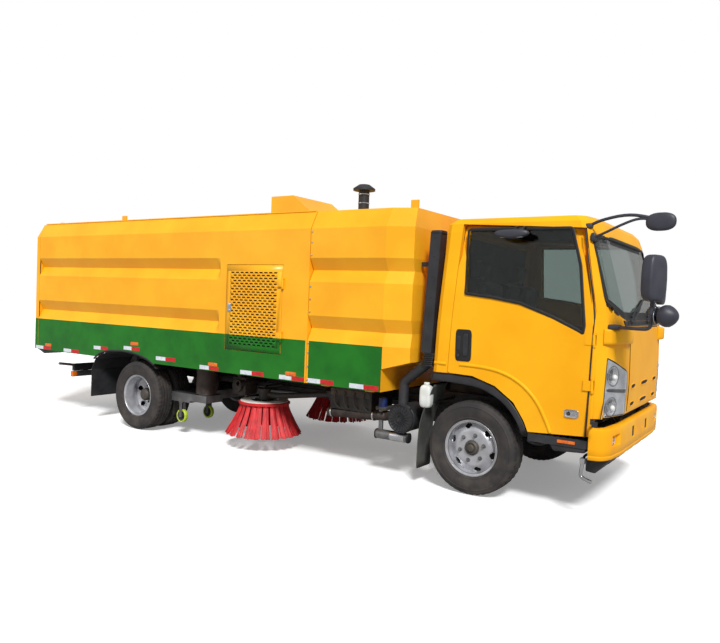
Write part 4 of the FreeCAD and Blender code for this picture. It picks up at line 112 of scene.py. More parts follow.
class Paint(Wiring):
    """A procedural material being wired up."""

    def __init__(self, name):
        self.material = bpy.data.materials.new(name)
        super().__init__(self.material)
        self.place = self.node("TexCoord", {}, "Object")

    def noise(self, scale, detail=3, stretch=None):
        place = self.node("Mapping", {"Scale": stretch, "Vector": self.place}) if stretch else self.place
        return self.node("TexNoise", {"Scale": scale, "Detail": detail, "Vector": place}, "Fac")

    def mix(self, share, first, second):
        return self.node("Mix", {0: share, 6: first, 7: second}, 2, data_type="RGBA")

    def drift(self, scale, colour, other):
        """Colour drifting between two shades."""
        return self.mix(self.ramp(self.noise(scale), 0.35, 0.65), srgb(*colour), srgb(*other))

    def axis(self, name):
        return self.node("SeparateXYZ", {0: self.place}, name)

    def shaded(self, inputs, **values):
        """The material, with its shader filled in; names in values have _ for a space."""
        inputs.update({name.replace("_", " "): value for name, value in values.items()})
        self.fill(self.tree.nodes["Principled BSDF"], inputs)
        return self.material


paints = {}


def surface(name, colour, other, rough=(0.4, 0.55), patch=4, grain=300, bump=0.1, depth=0.001, dust=0.0, stretch=None,
            band=None, **values):
    """Drifting colour, grained roughness, and road dust low down."""
    made = Paint(name)
    shade = made.drift(patch, colour, other)
    if band:
        shade = band(made, shade)
    if dust:
        low = made.ramp(made.axis("Z"), 0.1, 1.0, 1, 0)
        spots = made.ramp(made.noise(9, 6), 0.42, 0.7)
        amount = made.math("MULTIPLY", made.math("MULTIPLY", low, spots), dust)
        shade = made.mix(amount, shade, srgb(128, 118, 104))
    fine = made.noise(grain, 4, stretch)
    grained = made.node("Bump", {"Strength": bump, "Distance": depth, "Height": fine})
    inputs = {"Base Color": shade, "Roughness": made.ramp(fine, 0.3, 0.7, *rough), "Normal": grained}
    paints[name] = made.shaded(inputs, **values)


def green_band(made, shade):
    """The green skirt on the flat side plates, with a yellow strip at each side of the body's seam."""
    skirt_top, plate, strip = 1.205, 1.1086, 0.021
    low = made.math("LESS_THAN", made.axis("Z"), skirt_top)
    side = made.math("GREATER_THAN", made.math("ABSOLUTE", made.axis("Y")), plate)
    from_seam = made.math("SUBTRACT", made.axis("X"), (FRONT_AXLE + BODY_SEAM) / 1000)
    seam = made.math("GREATER_THAN", made.math("ABSOLUTE", from_seam), strip)
    green = made.drift(5, (28, 116, 26), (20, 100, 22))
    return made.mix(made.math("MULTIPLY", made.math("MULTIPLY", low, side), seam), shade, green)


def clear(name, tint, rough):
    made = Paint(name)
    paints[name] = made.shaded({
        "Roughness": made.ramp(made.noise(6), 0.3, 0.7, rough, rough * 2),
        "Base Color": made.mix(made.noise(3), tint, tuple(c * 0.94 for c in tint[:3]) + (1,))},
        Transmission_Weight=1.0, IOR=1.45)


# Name, two shades, roughness range, size of patches, of grain, its bump and depth, dust
surface("body_paint", (252, 182, 32), (247, 170, 26), (0.3, 0.42), 2.5, 90, 0.02, 0.002, 0.12, band=green_band,
        Coat_Weight=0.1, Coat_Roughness=0.2, Specular_IOR_Level=0.28)
surface("cab_paint", (252, 182, 32), (247, 170, 26), (0.3, 0.4), 2, 120, 0.012, 0.002, 0.08,
        Coat_Weight=0.02, Coat_Roughness=0.2, Specular_IOR_Level=0.05)
surface("chassis_paint", (30, 30, 31), (42, 40, 38), (0.45, 0.7), 6, 160, 0.25, 0.001, 0.3)
surface("black_plastic", (34, 35, 38), (44, 45, 49), (0.45, 0.6), 8, 900, 0.25, 0.0006, 0.12)
surface("mirror_plastic", (50, 51, 61), (60, 61, 71), (0.42, 0.55), 8, 900, 0.2, 0.0006)
surface("grey_plastic", (78, 78, 80), (90, 90, 91), (0.5, 0.65), 6, 700, 0.3, 0.0006)
surface("grey_steel", (150, 151, 153), (120, 120, 121), (0.3, 0.5), 7, 240, 0.15, 0.0008, 0.25, Metallic=0.85)
surface("bright_steel", (214, 215, 217), (190, 191, 194), (0.16, 0.3), 9, 300, 0.06, Metallic=1.0)
surface("lamp_silver", (226, 228, 232), (204, 206, 212), (0.16, 0.3), 16, 300, 0.1, Metallic=0.45)
surface("rim_paint", (196, 197, 202), (172, 173, 178), (0.28, 0.42), 9, 260, 0.1, 0.0008, 0.2, Metallic=0.55)
surface("tyre_rubber", (42, 39, 40), (54, 49, 48), (0.68, 0.85), 7, 420, 0.3, 0.001, 0.22)
surface("flap_rubber", (66, 68, 66), (80, 82, 79), (0.6, 0.8), 5, 500, 0.2, 0.001, 0.3)
surface("seal_rubber", (22, 22, 23), (30, 30, 31), (0.5, 0.65), 9, 500, 0.2)
surface("hose_rubber", (46, 36, 32), (62, 50, 44), (0.5, 0.7), 9, 320, 0.3, 0.001, 0.2)
surface("cast_metal", (64, 62, 60), (84, 78, 72), (0.55, 0.75), 8, 220, 0.5, 0.001, 0.3, Metallic=0.4)
surface("alu_tank", (196, 197, 198), (170, 171, 172), (0.28, 0.45), 6, 200, 0.1, Metallic=0.8)
surface("bristle_plastic", (214, 38, 42), (178, 22, 30), (0.4, 0.55), 14, 500, 0.2, stretch=(6, 6, 0.6))
surface("castor_tread", (196, 216, 62), (168, 190, 48), (0.4, 0.55), 20, 500, 0.2)
surface("white_plastic", (226, 228, 224), (206, 208, 202), (0.3, 0.42), 12, 400, 0.1, Subsurface_Weight=0.2)
surface("blue_paint", (26, 44, 96), (20, 34, 78), (0.3, 0.42), 12, 400, 0.1)
surface("seat_fabric", (62, 62, 66), (50, 50, 55), (0.8, 0.95), 12, 1400, 0.6, 0.001, Sheen_Weight=0.3)
surface("tape_white", (226, 230, 236), (204, 210, 220), (0.2, 0.34), 40, 900, 0.15)
surface("tape_red", (208, 34, 36), (184, 24, 30), (0.2, 0.34), 40, 900, 0.15)
surface("amber_lens", (236, 120, 20), (214, 96, 12), (0.12, 0.24), 40, 700, 0.2, Coat_Weight=0.6)
surface("red_lens", (186, 20, 22), (160, 12, 16), (0.12, 0.24), 40, 700, 0.2, Coat_Weight=0.6)
# Near-black painted shade, for the insides of openings, for gaps between panels and for what lies behind holes
surface("painted_shade_black", (16, 16, 17), (24, 24, 25), (0.6, 0.8), 20, 400, 0.3)
surface("plate_white", (232, 232, 228), (218, 218, 214), (0.3, 0.4), 20, 400, 0.05)
surface("lining_felt", (96, 96, 98), (84, 84, 86), (0.85, 0.95), 14, 1200, 0.4)
surface("mirror_face", (210, 214, 218), (200, 205, 210), (0.03, 0.06), 3, 50, 0.01, Metallic=1.0)
clear("window_glass", (0.37, 0.43, 0.41, 1), 0.02)
clear("lamp_cover", (0.95, 0.96, 0.97, 1), 0.03)

# A CAD node wears the paint its slot is named after, apart from these
SLOT_PAINTS = {"tyre": "tyre_rubber", "glass": "window_glass", "lamp_glass": "lamp_cover",
               "bristle": "bristle_plastic", "castor": "castor_tread"}
for part in frame["record"]["subparts"]:
    coat = nodes[part["node"]].data.materials
    coat.clear()
    coat.append(paints[SLOT_PAINTS.get(part["material_slot"], part["material_slot"])])


# Lines and places
def moved(point, x, y, z):
    return Vector(point) + Vector((x, y, z))


def between(start, end, shares):
    """Places at shares of the way from one (a, b) to another."""
    return [(start[0] + (end[0] - start[0]) * t, start[1] + (end[1] - start[1]) * t) for t in shares]


def around(centre, radius, turn, height=0):
    """A place on a level circle."""
    return moved(centre, math.cos(turn) * radius, math.sin(turn) * radius, height)


QUARTERS, EIGHTHS = [t / 4 for t in range(5)], [t / 8 for t in range(9)]


def flipped(rows):
    """A turned outline's other half."""
    return [(radius, -along) for radius, along in reversed(rows)]


def smoothed(points, rounds, closed=False):
    """The same line with its corners cut again and again."""
    line = [Vector(p) for p in points]
    for _ in range(rounds):
        cut = [p for a, b in zip(line, line[1:] + line[:closed]) for p in (a.lerp(b, 0.25), a.lerp(b, 0.75))]
        line = cut if closed else line[:1] + cut + line[-1:]
    return line


@functools.lru_cache(None)
def tree(name):
    mesh = nodes[name].data
    return BVHTree.FromPolygons([TO_MILLIMETRES @ v.co for v in mesh.vertices],
                                [tuple(p.vertices) for p in mesh.polygons])


def touch(names, start, way):
    """Where a line first meets the CAD nodes."""
    hits = [tree(name).ray_cast(Vector(start), Vector(way)) for name in names]
    hits = [hit for hit in hits if hit[0] is not None]
    return min(hits, key=lambda hit: hit[3])[0] if hits else None


def nudged_touch(names, start, way):
    """As touch, but a line that slips through the gap beside the glass is moved a little first."""
    one = way.orthogonal().normalized() * 14
    other = way.cross(one)
    for shift in (Vector(), one, -one, other, -other, one + other, one - other, other - one, -one - other):
        point = touch(names, start + shift, way)
        if point:
            return point - shift
    return None


def side_points(names, places, side, out=0):
    """Places (x, z) carried onto the truck's side, out from its skin."""
    hits = [touch(names, (x, side * 1500, z), (0, -side, 0)) or Vector((x, side * NO_SIDE, z)) for x, z in places]
    return [moved(hit, 0, side * out, 0) for hit in hits]


def front_points(names, places, out=0):
    """Places (y, z) carried onto the truck's front, out from its skin."""
    hits = [touch(names, (1700, y, z), BACKWARD) or Vector((NO_FRONT, y, z)) for y, z in places]
    return [moved(hit, out, 0, 0) for hit in hits]


def placed(name, data):
    """A new object in the scene."""
    made = bpy.data.objects.new(name, data)
    bpy.context.scene.collection.objects.link(made)
    return made


def rounded(made, levels=1):
    grow = made.modifiers.new("round", "SUBSURF")
    grow.levels = grow.render_levels = levels


class Piece:
    """A mesh gathered from many forms."""

    def __init__(self):
        self.bm = bmesh.new()
        self.cells = {}

    def faces(self, points, faces):
        made = [self.bm.verts.new(p) for p in points]
        for face in faces:
            self.bm.faces.new([made[i] for i in face])
        return made

    def skin(self, rings, joined=False, capped=True, opened=0, holes=()):
        """Quads from ring to ring of points, the last joined to the first, or both ends capped; opened leaves
        the rings' own ends apart, and holes leaves out cells (ring, step)."""
        rings = [[self.bm.verts.new(p) for p in ring] for ring in rings]
        for row, (a, b) in enumerate(zip(rings, rings[1:] + rings[:joined])):
            for k in range(len(a) - opened):
                if (row, k) not in holes:
                    after = (k + 1) % len(a)
                    self.cells[row, k] = self.bm.faces.new((a[k], a[after], b[after], b[k]))
        if capped and not joined:
            self.bm.faces.new(rings[0])
            self.bm.faces.new(rings[-1])
        self.ends = rings[0], rings[-1]
        return self

    def soften(self, verts, offset):
        edges = list({e for v in verts for e in v.link_edges})
        bmesh.ops.bevel(self.bm, geom=edges, offset=offset, segments=2, affect="EDGES", profile=0.5)
        return self

    def block(self, middle, half, soft=4, turn=None):
        """A box with softened edges, half its size given."""
        made = bmesh.ops.create_cube(self.bm, size=2)["verts"]
        move = Matrix.Translation(Vector(middle)) @ (turn or Matrix()) @ Matrix.Diagonal((*half, 1))
        bmesh.ops.transform(self.bm, matrix=move, verts=made)
        return self.soften(made, min(soft, min(half) * 0.8))

    def box(self, low, high, soft=4):
        half = [abs(b - a) / 2 for a, b in zip(low, high)]
        return self.block((Vector(low) + Vector(high)) / 2, half, soft)

    def prism(self, points, low, high, soft):
        """An (x, z) outline pulled from y low to high."""
        count = len(points)
        ring = [(x, y, z) for y in (low, high) for x, z in points]
        sides = [(i, (i + 1) % count, (i + 1) % count + count, i + count) for i in range(count)]
        return self.soften(self.faces(ring, sides + [range(count)[::-1], range(count, 2 * count)]), soft)

    def lathe(self, profile, centre, axis=INWARD, steps=64, change=None, **ends):
        """(radius, along) points turned about an axis, the last joined to the first."""
        axis = Vector(axis).normalized()
        across = axis.orthogonal().normalized()
        other = axis.cross(across)
        turns = [math.tau * step / steps for step in range(steps)]
        ways = [across * math.cos(turn) + other * math.sin(turn) for turn in turns]
        rings = [[Vector(centre) + axis * along + way * (change(radius, along, step) if change else radius)
                  for step, way in enumerate(ways)] for radius, along in profile]
        return self.skin(rings, **(ends or {"joined": True}))

    def plug(self, profile, centre, axis=INWARD, steps=64):
        """As lathe, with flat ends."""
        return self.lathe(profile, centre, axis, steps, capped=True)

    def disc(self, centre, axis, radius, along, soft=3, steps=32):
        """A short turned plug with softened ends, from along[0] to along[1]."""
        low, high = along
        soft = min(soft, radius * 0.4, abs(high - low) * 0.4)
        rows = [(radius * 0.3, 0), (radius - soft, 0), (radius - soft * 0.3, soft * 0.3), (radius, soft)]
        rows = [(r, low + t) for r, t in rows] + [(r, high - t) for r, t in reversed(rows)]
        return self.plug(rows, centre, axis, steps)

    def tube(self, points, radius, sides=12, rounds=2, flat=1.0, closed=False, taper=None, lean=UP):
        """A bar along a smoothed line; flat squeezes it across."""
        line = smoothed(points, rounds, closed)
        rings, side, last = [], None, len(line) - 1
        for i, point in enumerate(line):
            ahead = line[(i + 1) % len(line)] if closed else line[min(i + 1, last)]
            behind = line[i - 1] if closed else line[max(i - 1, 0)]
            way = (ahead - behind).normalized()
            if side is None:
                guess = Vector(lean)
                if abs(guess.dot(way)) > 0.9:
                    guess = Vector((0, 1, 0)) if abs(way.y) < 0.9 else Vector((1, 0, 0))
                side = way.cross(guess).normalized()
            side = (side - way * side.dot(way)).normalized()
            up = side.cross(way) * flat
            grow = radius * (taper(i / last) if taper else 1)
            turns = [math.tau * k / sides for k in range(sides)]
            rings.append([point + (side * math.cos(turn) + up * math.sin(turn)) * grow for turn in turns])
        return self.skin(rings, closed)

    def ribbed(self, points, radius, pitch, depth, rounds=3):
        """A corrugated hose along a line."""
        line = smoothed(points, rounds)
        total = sum((b - a).length for a, b in zip(line, line[1:]))
        count = int(total / pitch) * 4
        spaced = []
        for i in range(count + 1):
            left = total * i / count
            for a, b in zip(line, line[1:]):
                span = (b - a).length
                if left <= span or b is line[-1]:
                    spaced.append(a.lerp(b, min(left / span, 1)))
                    break
                left -= span
        return self.tube(spaced, radius, 20, 0, taper=lambda t: 1 + depth * (1, 0, -1, 0)[round(t * count) % 4])

    def sweep(self, profile, path, grow=lambda share: 1):
        """A closed (out, z) outline carried along (x, y) places."""
        rings = []
        last = len(path) - 1
        for i, (x, y) in enumerate(path):
            (x0, y0), (x1, y1) = path[max(i - 1, 0)], path[min(i + 1, last)]
            out = Vector((y1 - y0, x0 - x1, 0)).normalized()
            rings.append([Vector((x, y, z)) + out * a * (grow(i / last) if a > 0 else 1) for a, z in profile])
        return self.skin(rings)

    def pocket(self, cell, depth, way, share):
        """Sinks the middle share of one cell of a sweep into a box-shaped recess."""
        face = self.cells[cell]
        middle = face.calc_center_median()
        corners = [v.co.copy() for v in face.verts]
        edge = list(face.verts)
        self.bm.faces.remove(face)
        for size, deep in ((share, 0), (share * 0.88, depth)):
            inner = [self.bm.verts.new(middle + (p - middle) * size + Vector(way) * deep) for p in corners]
            for i in range(4):
                self.bm.faces.new((edge[i], edge[(i + 1) % 4], inner[(i + 1) % 4], inner[i]))
            edge = inner
        self.bm.faces.new(edge)
        return middle

    def pod(self, centre, size, turn=None, power=2.6, rows=14, steps=28, change=None):
        """A rounded closed shell between a ball and a box."""
        turn = (turn or Matrix()).to_3x3()

        def bend(value):
            return math.copysign(abs(value) ** (2 / power), value)

        rings = []
        for i in range(1, rows):
            tilt = math.pi * i / rows - math.pi / 2
            wide = bend(math.cos(tilt)) / 2
            ring = []
            for k in range(steps):
                way = math.tau * k / steps
                p = Vector((wide * bend(math.cos(way)) * size[0], wide * bend(math.sin(way)) * size[1],
                            bend(math.sin(tilt)) * size[2] / 2))
                ring.append(turn @ (change(p) if change else p) + Vector(centre))
            rings.append(ring)
        return self.skin(rings)

    def patch(self, names, corners, way, lift=3, sink=2, across=8, up=4):
        """A thin plate lying on the CAD surface: four corners, and the way to look for it."""
        way = Vector(way)
        a, b, c, d = (Vector(p) for p in corners)
        rings = []
        for j in range(up + 1):
            hits = []
            for i in range(across + 1):
                start = a.lerp(b, i / across).lerp(d.lerp(c, i / across), j / up)
                hits.append(nudged_touch(names, start - way * 400, way) or start)
            rings.append([p - way * lift for p in hits] + [p + way * sink for p in reversed(hits)])
        self.skin(rings, capped=False)
        for ring in self.ends:
            for i in range(across):
                self.bm.faces.new((ring[i], ring[i + 1], ring[-2 - i], ring[-1 - i]))
        return self

    def side_patch(self, names, low, high, y, *rest):
        """A patch on the right side, between two (x, z) places."""
        return self.patch(names, rectangle(low, high, y), INWARD, *rest)

    def front_patch(self, names, places, *rest):
        """A patch on the front, its corners (y, z)."""
        return self.patch(names, [(1200, y, z) for y, z in places], BACKWARD, *rest)

    def mirror(self):
        """The same forms on the truck's other side too."""
        made = bmesh.ops.duplicate(self.bm, geom=self.bm.verts[:] + self.bm.edges[:] + self.bm.faces[:])["geom"]
        for v in made:
            if isinstance(v, bmesh.types.BMVert):
                v.co.y = -v.co.y
        bmesh.ops.reverse_faces(self.bm, faces=[f for f in made if isinstance(f, bmesh.types.BMFace)])
        return self

    def done(self, name, body, paint, slot=None, angle=35, levels=0, thick=0, replaces=(), side=RIGHT):
        """The mesh in the scene, riding on its body; slot is not used."""
        if side == LEFT:
            for v in self.bm.verts:
                v.co.y = -v.co.y
            bmesh.ops.reverse_faces(self.bm, faces=self.bm.faces[:])
        bmesh.ops.recalc_face_normals(self.bm, faces=self.bm.faces[:])
        bmesh.ops.transform(self.bm, matrix=TO_FRAME, verts=self.bm.verts[:])
        mesh = bpy.data.meshes.new(name)
        self.bm.to_mesh(mesh)
        self.bm.free()
        mesh.polygons.foreach_set("use_smooth", [True] * len(mesh.polygons))
        mesh.set_sharp_from_angle(angle=math.radians(angle))
        mesh.materials.append(paints[paint])
        made = placed(name, mesh)
        if levels:
            rounded(made, levels)
        if thick:
            wall = made.modifiers.new("wall", "SOLIDIFY")
            wall.thickness = thick / 1000
            wall.offset = 0
        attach(made, body)
        for node in replaces:
            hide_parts(node)
        return made


def rectangle(low, high, y):
    """Four corners between two (x, z) places, at one y."""
    return [(low[0], y, low[1]), (high[0], y, low[1]), (high[0], y, high[1]), (low[0], y, high[1])]


def cad_copy(name, keep=lambda places: True):
    """A piece with a CAD node's own faces, in millimetres."""
    mesh = nodes[name].data
    copy = Piece()
    made = [copy.bm.verts.new(TO_MILLIMETRES @ v.co) for v in mesh.vertices]
    for p in mesh.polygons:
        corners = [made[i] for i in p.vertices]
        if keep([v.co for v in corners]) and not copy.bm.faces.get(corners):
            copy.bm.faces.new(corners)
    bmesh.ops.delete(copy.bm, geom=[v for v in copy.bm.verts if not v.link_faces], context="VERTS")
    return copy


# Wheels
TYRE_HALF = [
    (226, 76), (230, 88), (240, 97), (250, 102), (254, 106), (258, 106), (262, 105), (285, 112), (312, 115.5),
    (334, 116), (346, 114.5), (350, 116.4), (354, 116.4), (358, 113), (370, 109.5), (381, 105), (388, 99),
    (393.5, 91), (396.5, 82), (397.4, 64), (396.8, 62), (388.5, 60.5), (388.5, 55.5), (397, 54), (397.8, 52),
    (398, 26), (397.4, 24.4), (388.5, 23), (388.5, 17), (397.4, 15.6), (398, 14),
]
BARREL_OUT = [(237, 98), (239, 96), (239, 88), (234, 85), (226, 82), (222, 70), (219, 40), (205, 10)]
BARREL_IN = [(197, 10), (211, 40), (214, 72), (219, 88), (230, 92), (233, 97)]
FRONT_DISC = [(60, -66), (84, -66), (96, -66), (128, -66), (143, -65.5), (152, -62), (162, -56), (174, -48.6),
              (199, -33.4), (211, -26), (219, -22)]
REAR_DISC = [(60, 128), (84, 128), (96, 128), (128, 128), (143, 127.5), (152, 124), (162, 117), (174, 108.5),
             (199, 91), (211, 82.5), (219, 79)]
FRONT_CAP = [(20, 40), (80, 40), (80, -64), (62, -70), (60, -84), (54, -92), (48, -96), (44, -96), (42, -90),
             (34, -90), (31, -104), (24, -110), (10, -112)]
REAR_CAP = [(48, 118), (80, 116), (82, 0), (84, -14), (80, -30), (74, -36), (70, -120), (64, -134), (54, -142),
            (30, -148), (10, -149)]
HAND_HOLES = {(row, (12 * i + step) % 72) for row, first, last in ((6, 11, 13), (7, 10, 14), (8, 11, 13))
              for i in range(6) for step in range(first, last)}
FRONT_Y, REAR_Y, TWIN = -840, -825, 135


def tread(radius, along, step):
    """Cuts the tyre's shoulders and ribs into blocks."""
    if radius > 392 and abs(along) > 61 and step % 3 == 0:
        return radius - 6.5
    if radius > 396 and 14 < abs(along) < 53 and step % 6 == (2 if along > 0 else 5):
        return radius - 4
    return radius


def nuts(x, y, high, turn):
    """Six hexagon nuts with washers and studs round a hub, facing right."""
    piece = Piece()
    for i in range(6):
        way = math.tau * (i + turn) / 6
        spot = (x + 111 * math.cos(way), y, TYRE_RADIUS + 111 * math.sin(way))
        piece.plug([(15, 0), (15, -high * 0.7), (12, -high)], spot, steps=6)
        piece.plug([(18.75, 0.5), (18.75, -2), (15, -3)], spot, steps=20)
        piece.plug([(7.5, 0), (7.5, -high * 1.35), (5.25, -high * 1.5)], spot, steps=12)
    return piece


for word, side in SIDES:
    for end, plural, x, y, offsets in (("front", "", 0, FRONT_Y, (0,)), ("rear", "s", REAR_X, REAR_Y, (TWIN, -TWIN))):
        body, name = word + "_" + end + "_wheel" + plural, word + "_" + end
        tyres, rims = Piece(), Piece()
        for offset in offsets:
            middle = (x, y - offset, TYRE_RADIUS)
            tyres.lathe(TYRE_HALF + flipped(TYRE_HALF), middle, steps=144, change=tread)
            rims.lathe(BARREL_OUT + flipped(BARREL_OUT) + flipped(BARREL_IN) + BARREL_IN, middle, steps=96)
        tyres.done(name + "_tyre_tread" + plural, body, "tyre_rubber", "tyre", 25,
                   replaces=[name + "_tyre" + plural], side=side)
        rims.done(name + "_rim_barrel" + plural, body, "rim_paint", angle=30,
                  replaces=[name + "_rim" + plural], side=side)
        middle = (x, y, TYRE_RADIUS)
        if end == "front":
            discs = [("_front_rim_disc", 0, FRONT_DISC)]
            hub, cap, cap_name = nuts(x, y - 71, 20, 0.25), FRONT_CAP, "_front_hub_cap"
            hub.lathe([(216, -86), (216, -80), (221, -80), (221, -86)], middle)
            hub.tube([(150, y - 62, 500), (165, y - 76, 510), (172, y - 88, 516)], 5, 10)
        else:
            discs = [("_outer_rear_disc", -TWIN, REAR_DISC),
                     ("_inner_rear_disc", TWIN, [(radius, -along) for radius, along in REAR_DISC])]
            hub, cap, cap_name = nuts(x, y - 9, 22, 0.1), REAR_CAP, "_rear_hub"
        for ending, offset, rows in discs:
            disc = Piece().lathe(rows, (x, y + offset, TYRE_RADIUS), steps=72, capped=False, holes=HAND_HOLES)
            disc.done(word + ending, body, "rim_paint", None, 50, 1, 11, side=side)
        hub.done(name + "_nuts", body, "grey_steel", side=side)
        Piece().plug(cap, middle, steps=48).done(word + cap_name, body, "cast_metal", "rim_paint", 30, side=side)
        if end == "front":
            # The drum behind the hand holes is near-black: its own dark metal, darkened further as painted shade
            Piece().lathe([(84, -14), (195, -14), (195, -6), (84, -6)], middle, steps=48).done(
                name + "_drum", body, "painted_shade_black", "rim_paint", 30, side=side)

# Castor wheels under the suction nozzle
TREAD = [(58, 20), (70, 21), (74, 16), (75, 8), (75, -8), (74, -16), (70, -21), (58, -20)]
CORE = [(58, 19), (54, 14), (30, 8), (26, 21), (10.5, 21), (10.5, -21), (26, -21), (30, -8), (54, -14), (58, -19)]
for word, side in SIDES:
    for place, y in (("outer", -890), ("inner", -485)):
        body, middle = "%s_%s_castor" % (word, place), (-3585, y, 215)
        Piece().lathe(TREAD, middle, steps=56).done(body + "_tread", body, "castor_tread", "castor", 30,
                                                    replaces=[body], side=side)
        core = Piece().lathe(CORE, middle, steps=48)
        for i in range(5):
            turn = Matrix.Rotation(math.tau * i / 5, 4, "Y")
            for face in (-12, 12):
                core.block(moved(middle, *(turn @ Vector((41, face, 0)))), (13, 3, 3), 1, turn)
        core.done(body + "_core", body, "black_plastic", angle=30, side=side)

# Gutter brushes: bundles of strands, each strand bent outwards to the ground
BUNDLES, STRANDS, RING_RADIUS, RING_HIGH = 24, 11, 247, 470
for word, side in SIDES:
    body, middle = word + "_brush", (-2520, -700, 0)
    strands = Piece()
    for i in range(BUNDLES):
        bundle = math.tau * (i + random.uniform(-0.12, 0.12)) / BUNDLES
        for k in range(STRANDS):
            share = k / (STRANDS - 1) - 0.5
            start = bundle + share * 0.17
            finish = bundle + share * 0.205 + random.uniform(-0.008, 0.008)
            reach = 414 - random.uniform(0, 12) - 26 * abs(share)
            low = 141 + random.uniform(0, 10)
            line = [around(middle, RING_RADIUS + (reach - RING_RADIUS) * (t ** 1.2) - 22 * abs(share) * (0.4 + t),
                           start + (finish - start) * t, RING_HIGH + (low - RING_HIGH) * t)
                    for t in (0, 0.3, 0.65, 1)]
            strands.tube(line, 5.2, 6, 0, 0.7, taper=lambda t: 1 + 0.3 * t, lean=around((0, 0, 0), 1, bundle))
    strands.done(body + "_bristles", body, "bristle_plastic", "bristle", 60, replaces=[body], side=side)
    ring = Piece().lathe([(180, 462), (262, 458), (275, 466), (276, 482), (262, 492), (190, 494), (180, 490)],
                         middle, UP, 72)
    for i in range(BUNDLES):
        ring.disc(around(middle, 250, math.tau * i / BUNDLES), UP, 17, (448, 462), 2, 14)
    ring.done(body + "_ring", body, "bristle_plastic", "bristle", 30, side=side)
    plate = Piece().lathe([(21, 460), (200, 462), (204, 468), (204, 494), (198, 499), (90, 499), (66, 500), (62, 500),
                           (58, 500), (21, 500)], middle, UP, 72)
    for i in range(6):
        plate.plug([(11, 496), (11, 504), (8, 506)], around(middle, 150, math.tau * i / 6), UP, 6)
    plate.done(body + "_plate", body, "bright_steel", "grey_steel", 30, side=side)
    Piece().lathe([(152, 497), (254, 494.5), (258, 492), (258, 496), (254, 499), (152, 501.5)], middle, UP, 72).done(
        body + "_cover_ring", body, "plate_white", "grey_steel", 30, side=side)

# Tape pairs (white from, red from, red to, height) and markers along the body
TAPES = [(-6182, -6010, -5845, 808), (-5561, -5402, -5244, 808), (-4943, -4806, -4669, 886),
         (-4373, -4229, -4085, 922), (-3800, -3640, -3480, 846), (-3095, -2954, -2812, 808),
         (-2501, -2344, -2184, 808), (-1982, -1826, -1667, 808), (-1627, -1477, -1323, 808), (-1145, -989, -830, 808)]
MARKERS = [(-5900, 868), (-4180, 1000), (-2900, 868), (-1838, 868)]
TAPE_HIGH = 42
for body, node, inside in (("dust_bin", "bin_walls", lambda x: x < BODY_SEAM),
                           ("chassis", "water_tank", lambda x: x > BODY_SEAM)):
    for first, colour in enumerate(("white", "red")):
        strips = Piece()
        for tape in TAPES:
            if inside(tape[0]):
                strips.side_patch([node], (tape[first], tape[3]), (tape[first + 1], tape[3] + TAPE_HIGH), BODY_FACE,
                                  1.6, 1, 6, 2)
        strips.mirror().done("%s_%s_tape" % (body, colour), body, "tape_" + colour, "body_paint", 40)
for name, y, size, power in (("side_markers", -1112, (118, 16, 30), 6),
                             ("side_marker_bases", -1111, (134, 10, 42), 7)):
    marker = Piece()
    for x, z in MARKERS:
        marker.pod((x, y, z), size, power=power)
    marker.mirror().done(name, "dust_bin", "amber_lens", "body_paint", 40)

# Rear arch bead on the skirt, above the black mudguard
ARCH_BEAD = [(0, -0.2), (0.1, 0.5), (0.26, 0.86), (0.49, 1.0), (0.71, 0.86), (0.89, 0.46), (1.0, -0.1)]
Piece().tube([(-4940 + 1110 * a, -1104, 794 + 112 * b) for a, b in ARCH_BEAD], 13, 14, 3, 0.8).mirror().done(
    "rear_arch_bead", "chassis", "black_plastic")

# Body panel trim: top rails, seams with bolts
trim = Piece()
for side in (RIGHT, LEFT):
    trim.tube([(-6150, side * 1018, 2447), (-1665, side * 1018, 2447)], 7, 10, 0)
    for x in (-6196, -1662):
        trim.tube([(x, side * 1111, z) for z in (815, 1204, 1206)], 4, 8, 0)
trim.done("bin_trim", "dust_bin", "body_paint")
bolts = Piece()
for z in (830, 960, 1090, 1180, 1480, 1600, 1720, 2020, 2140, 2240):
    bolts.disc((-1632, BODY_FACE, z), OUTWARD, 9, (0, 5), 2, 12)
bolts.mirror().done("tank_bolts", "chassis", "bright_steel", "body_paint")

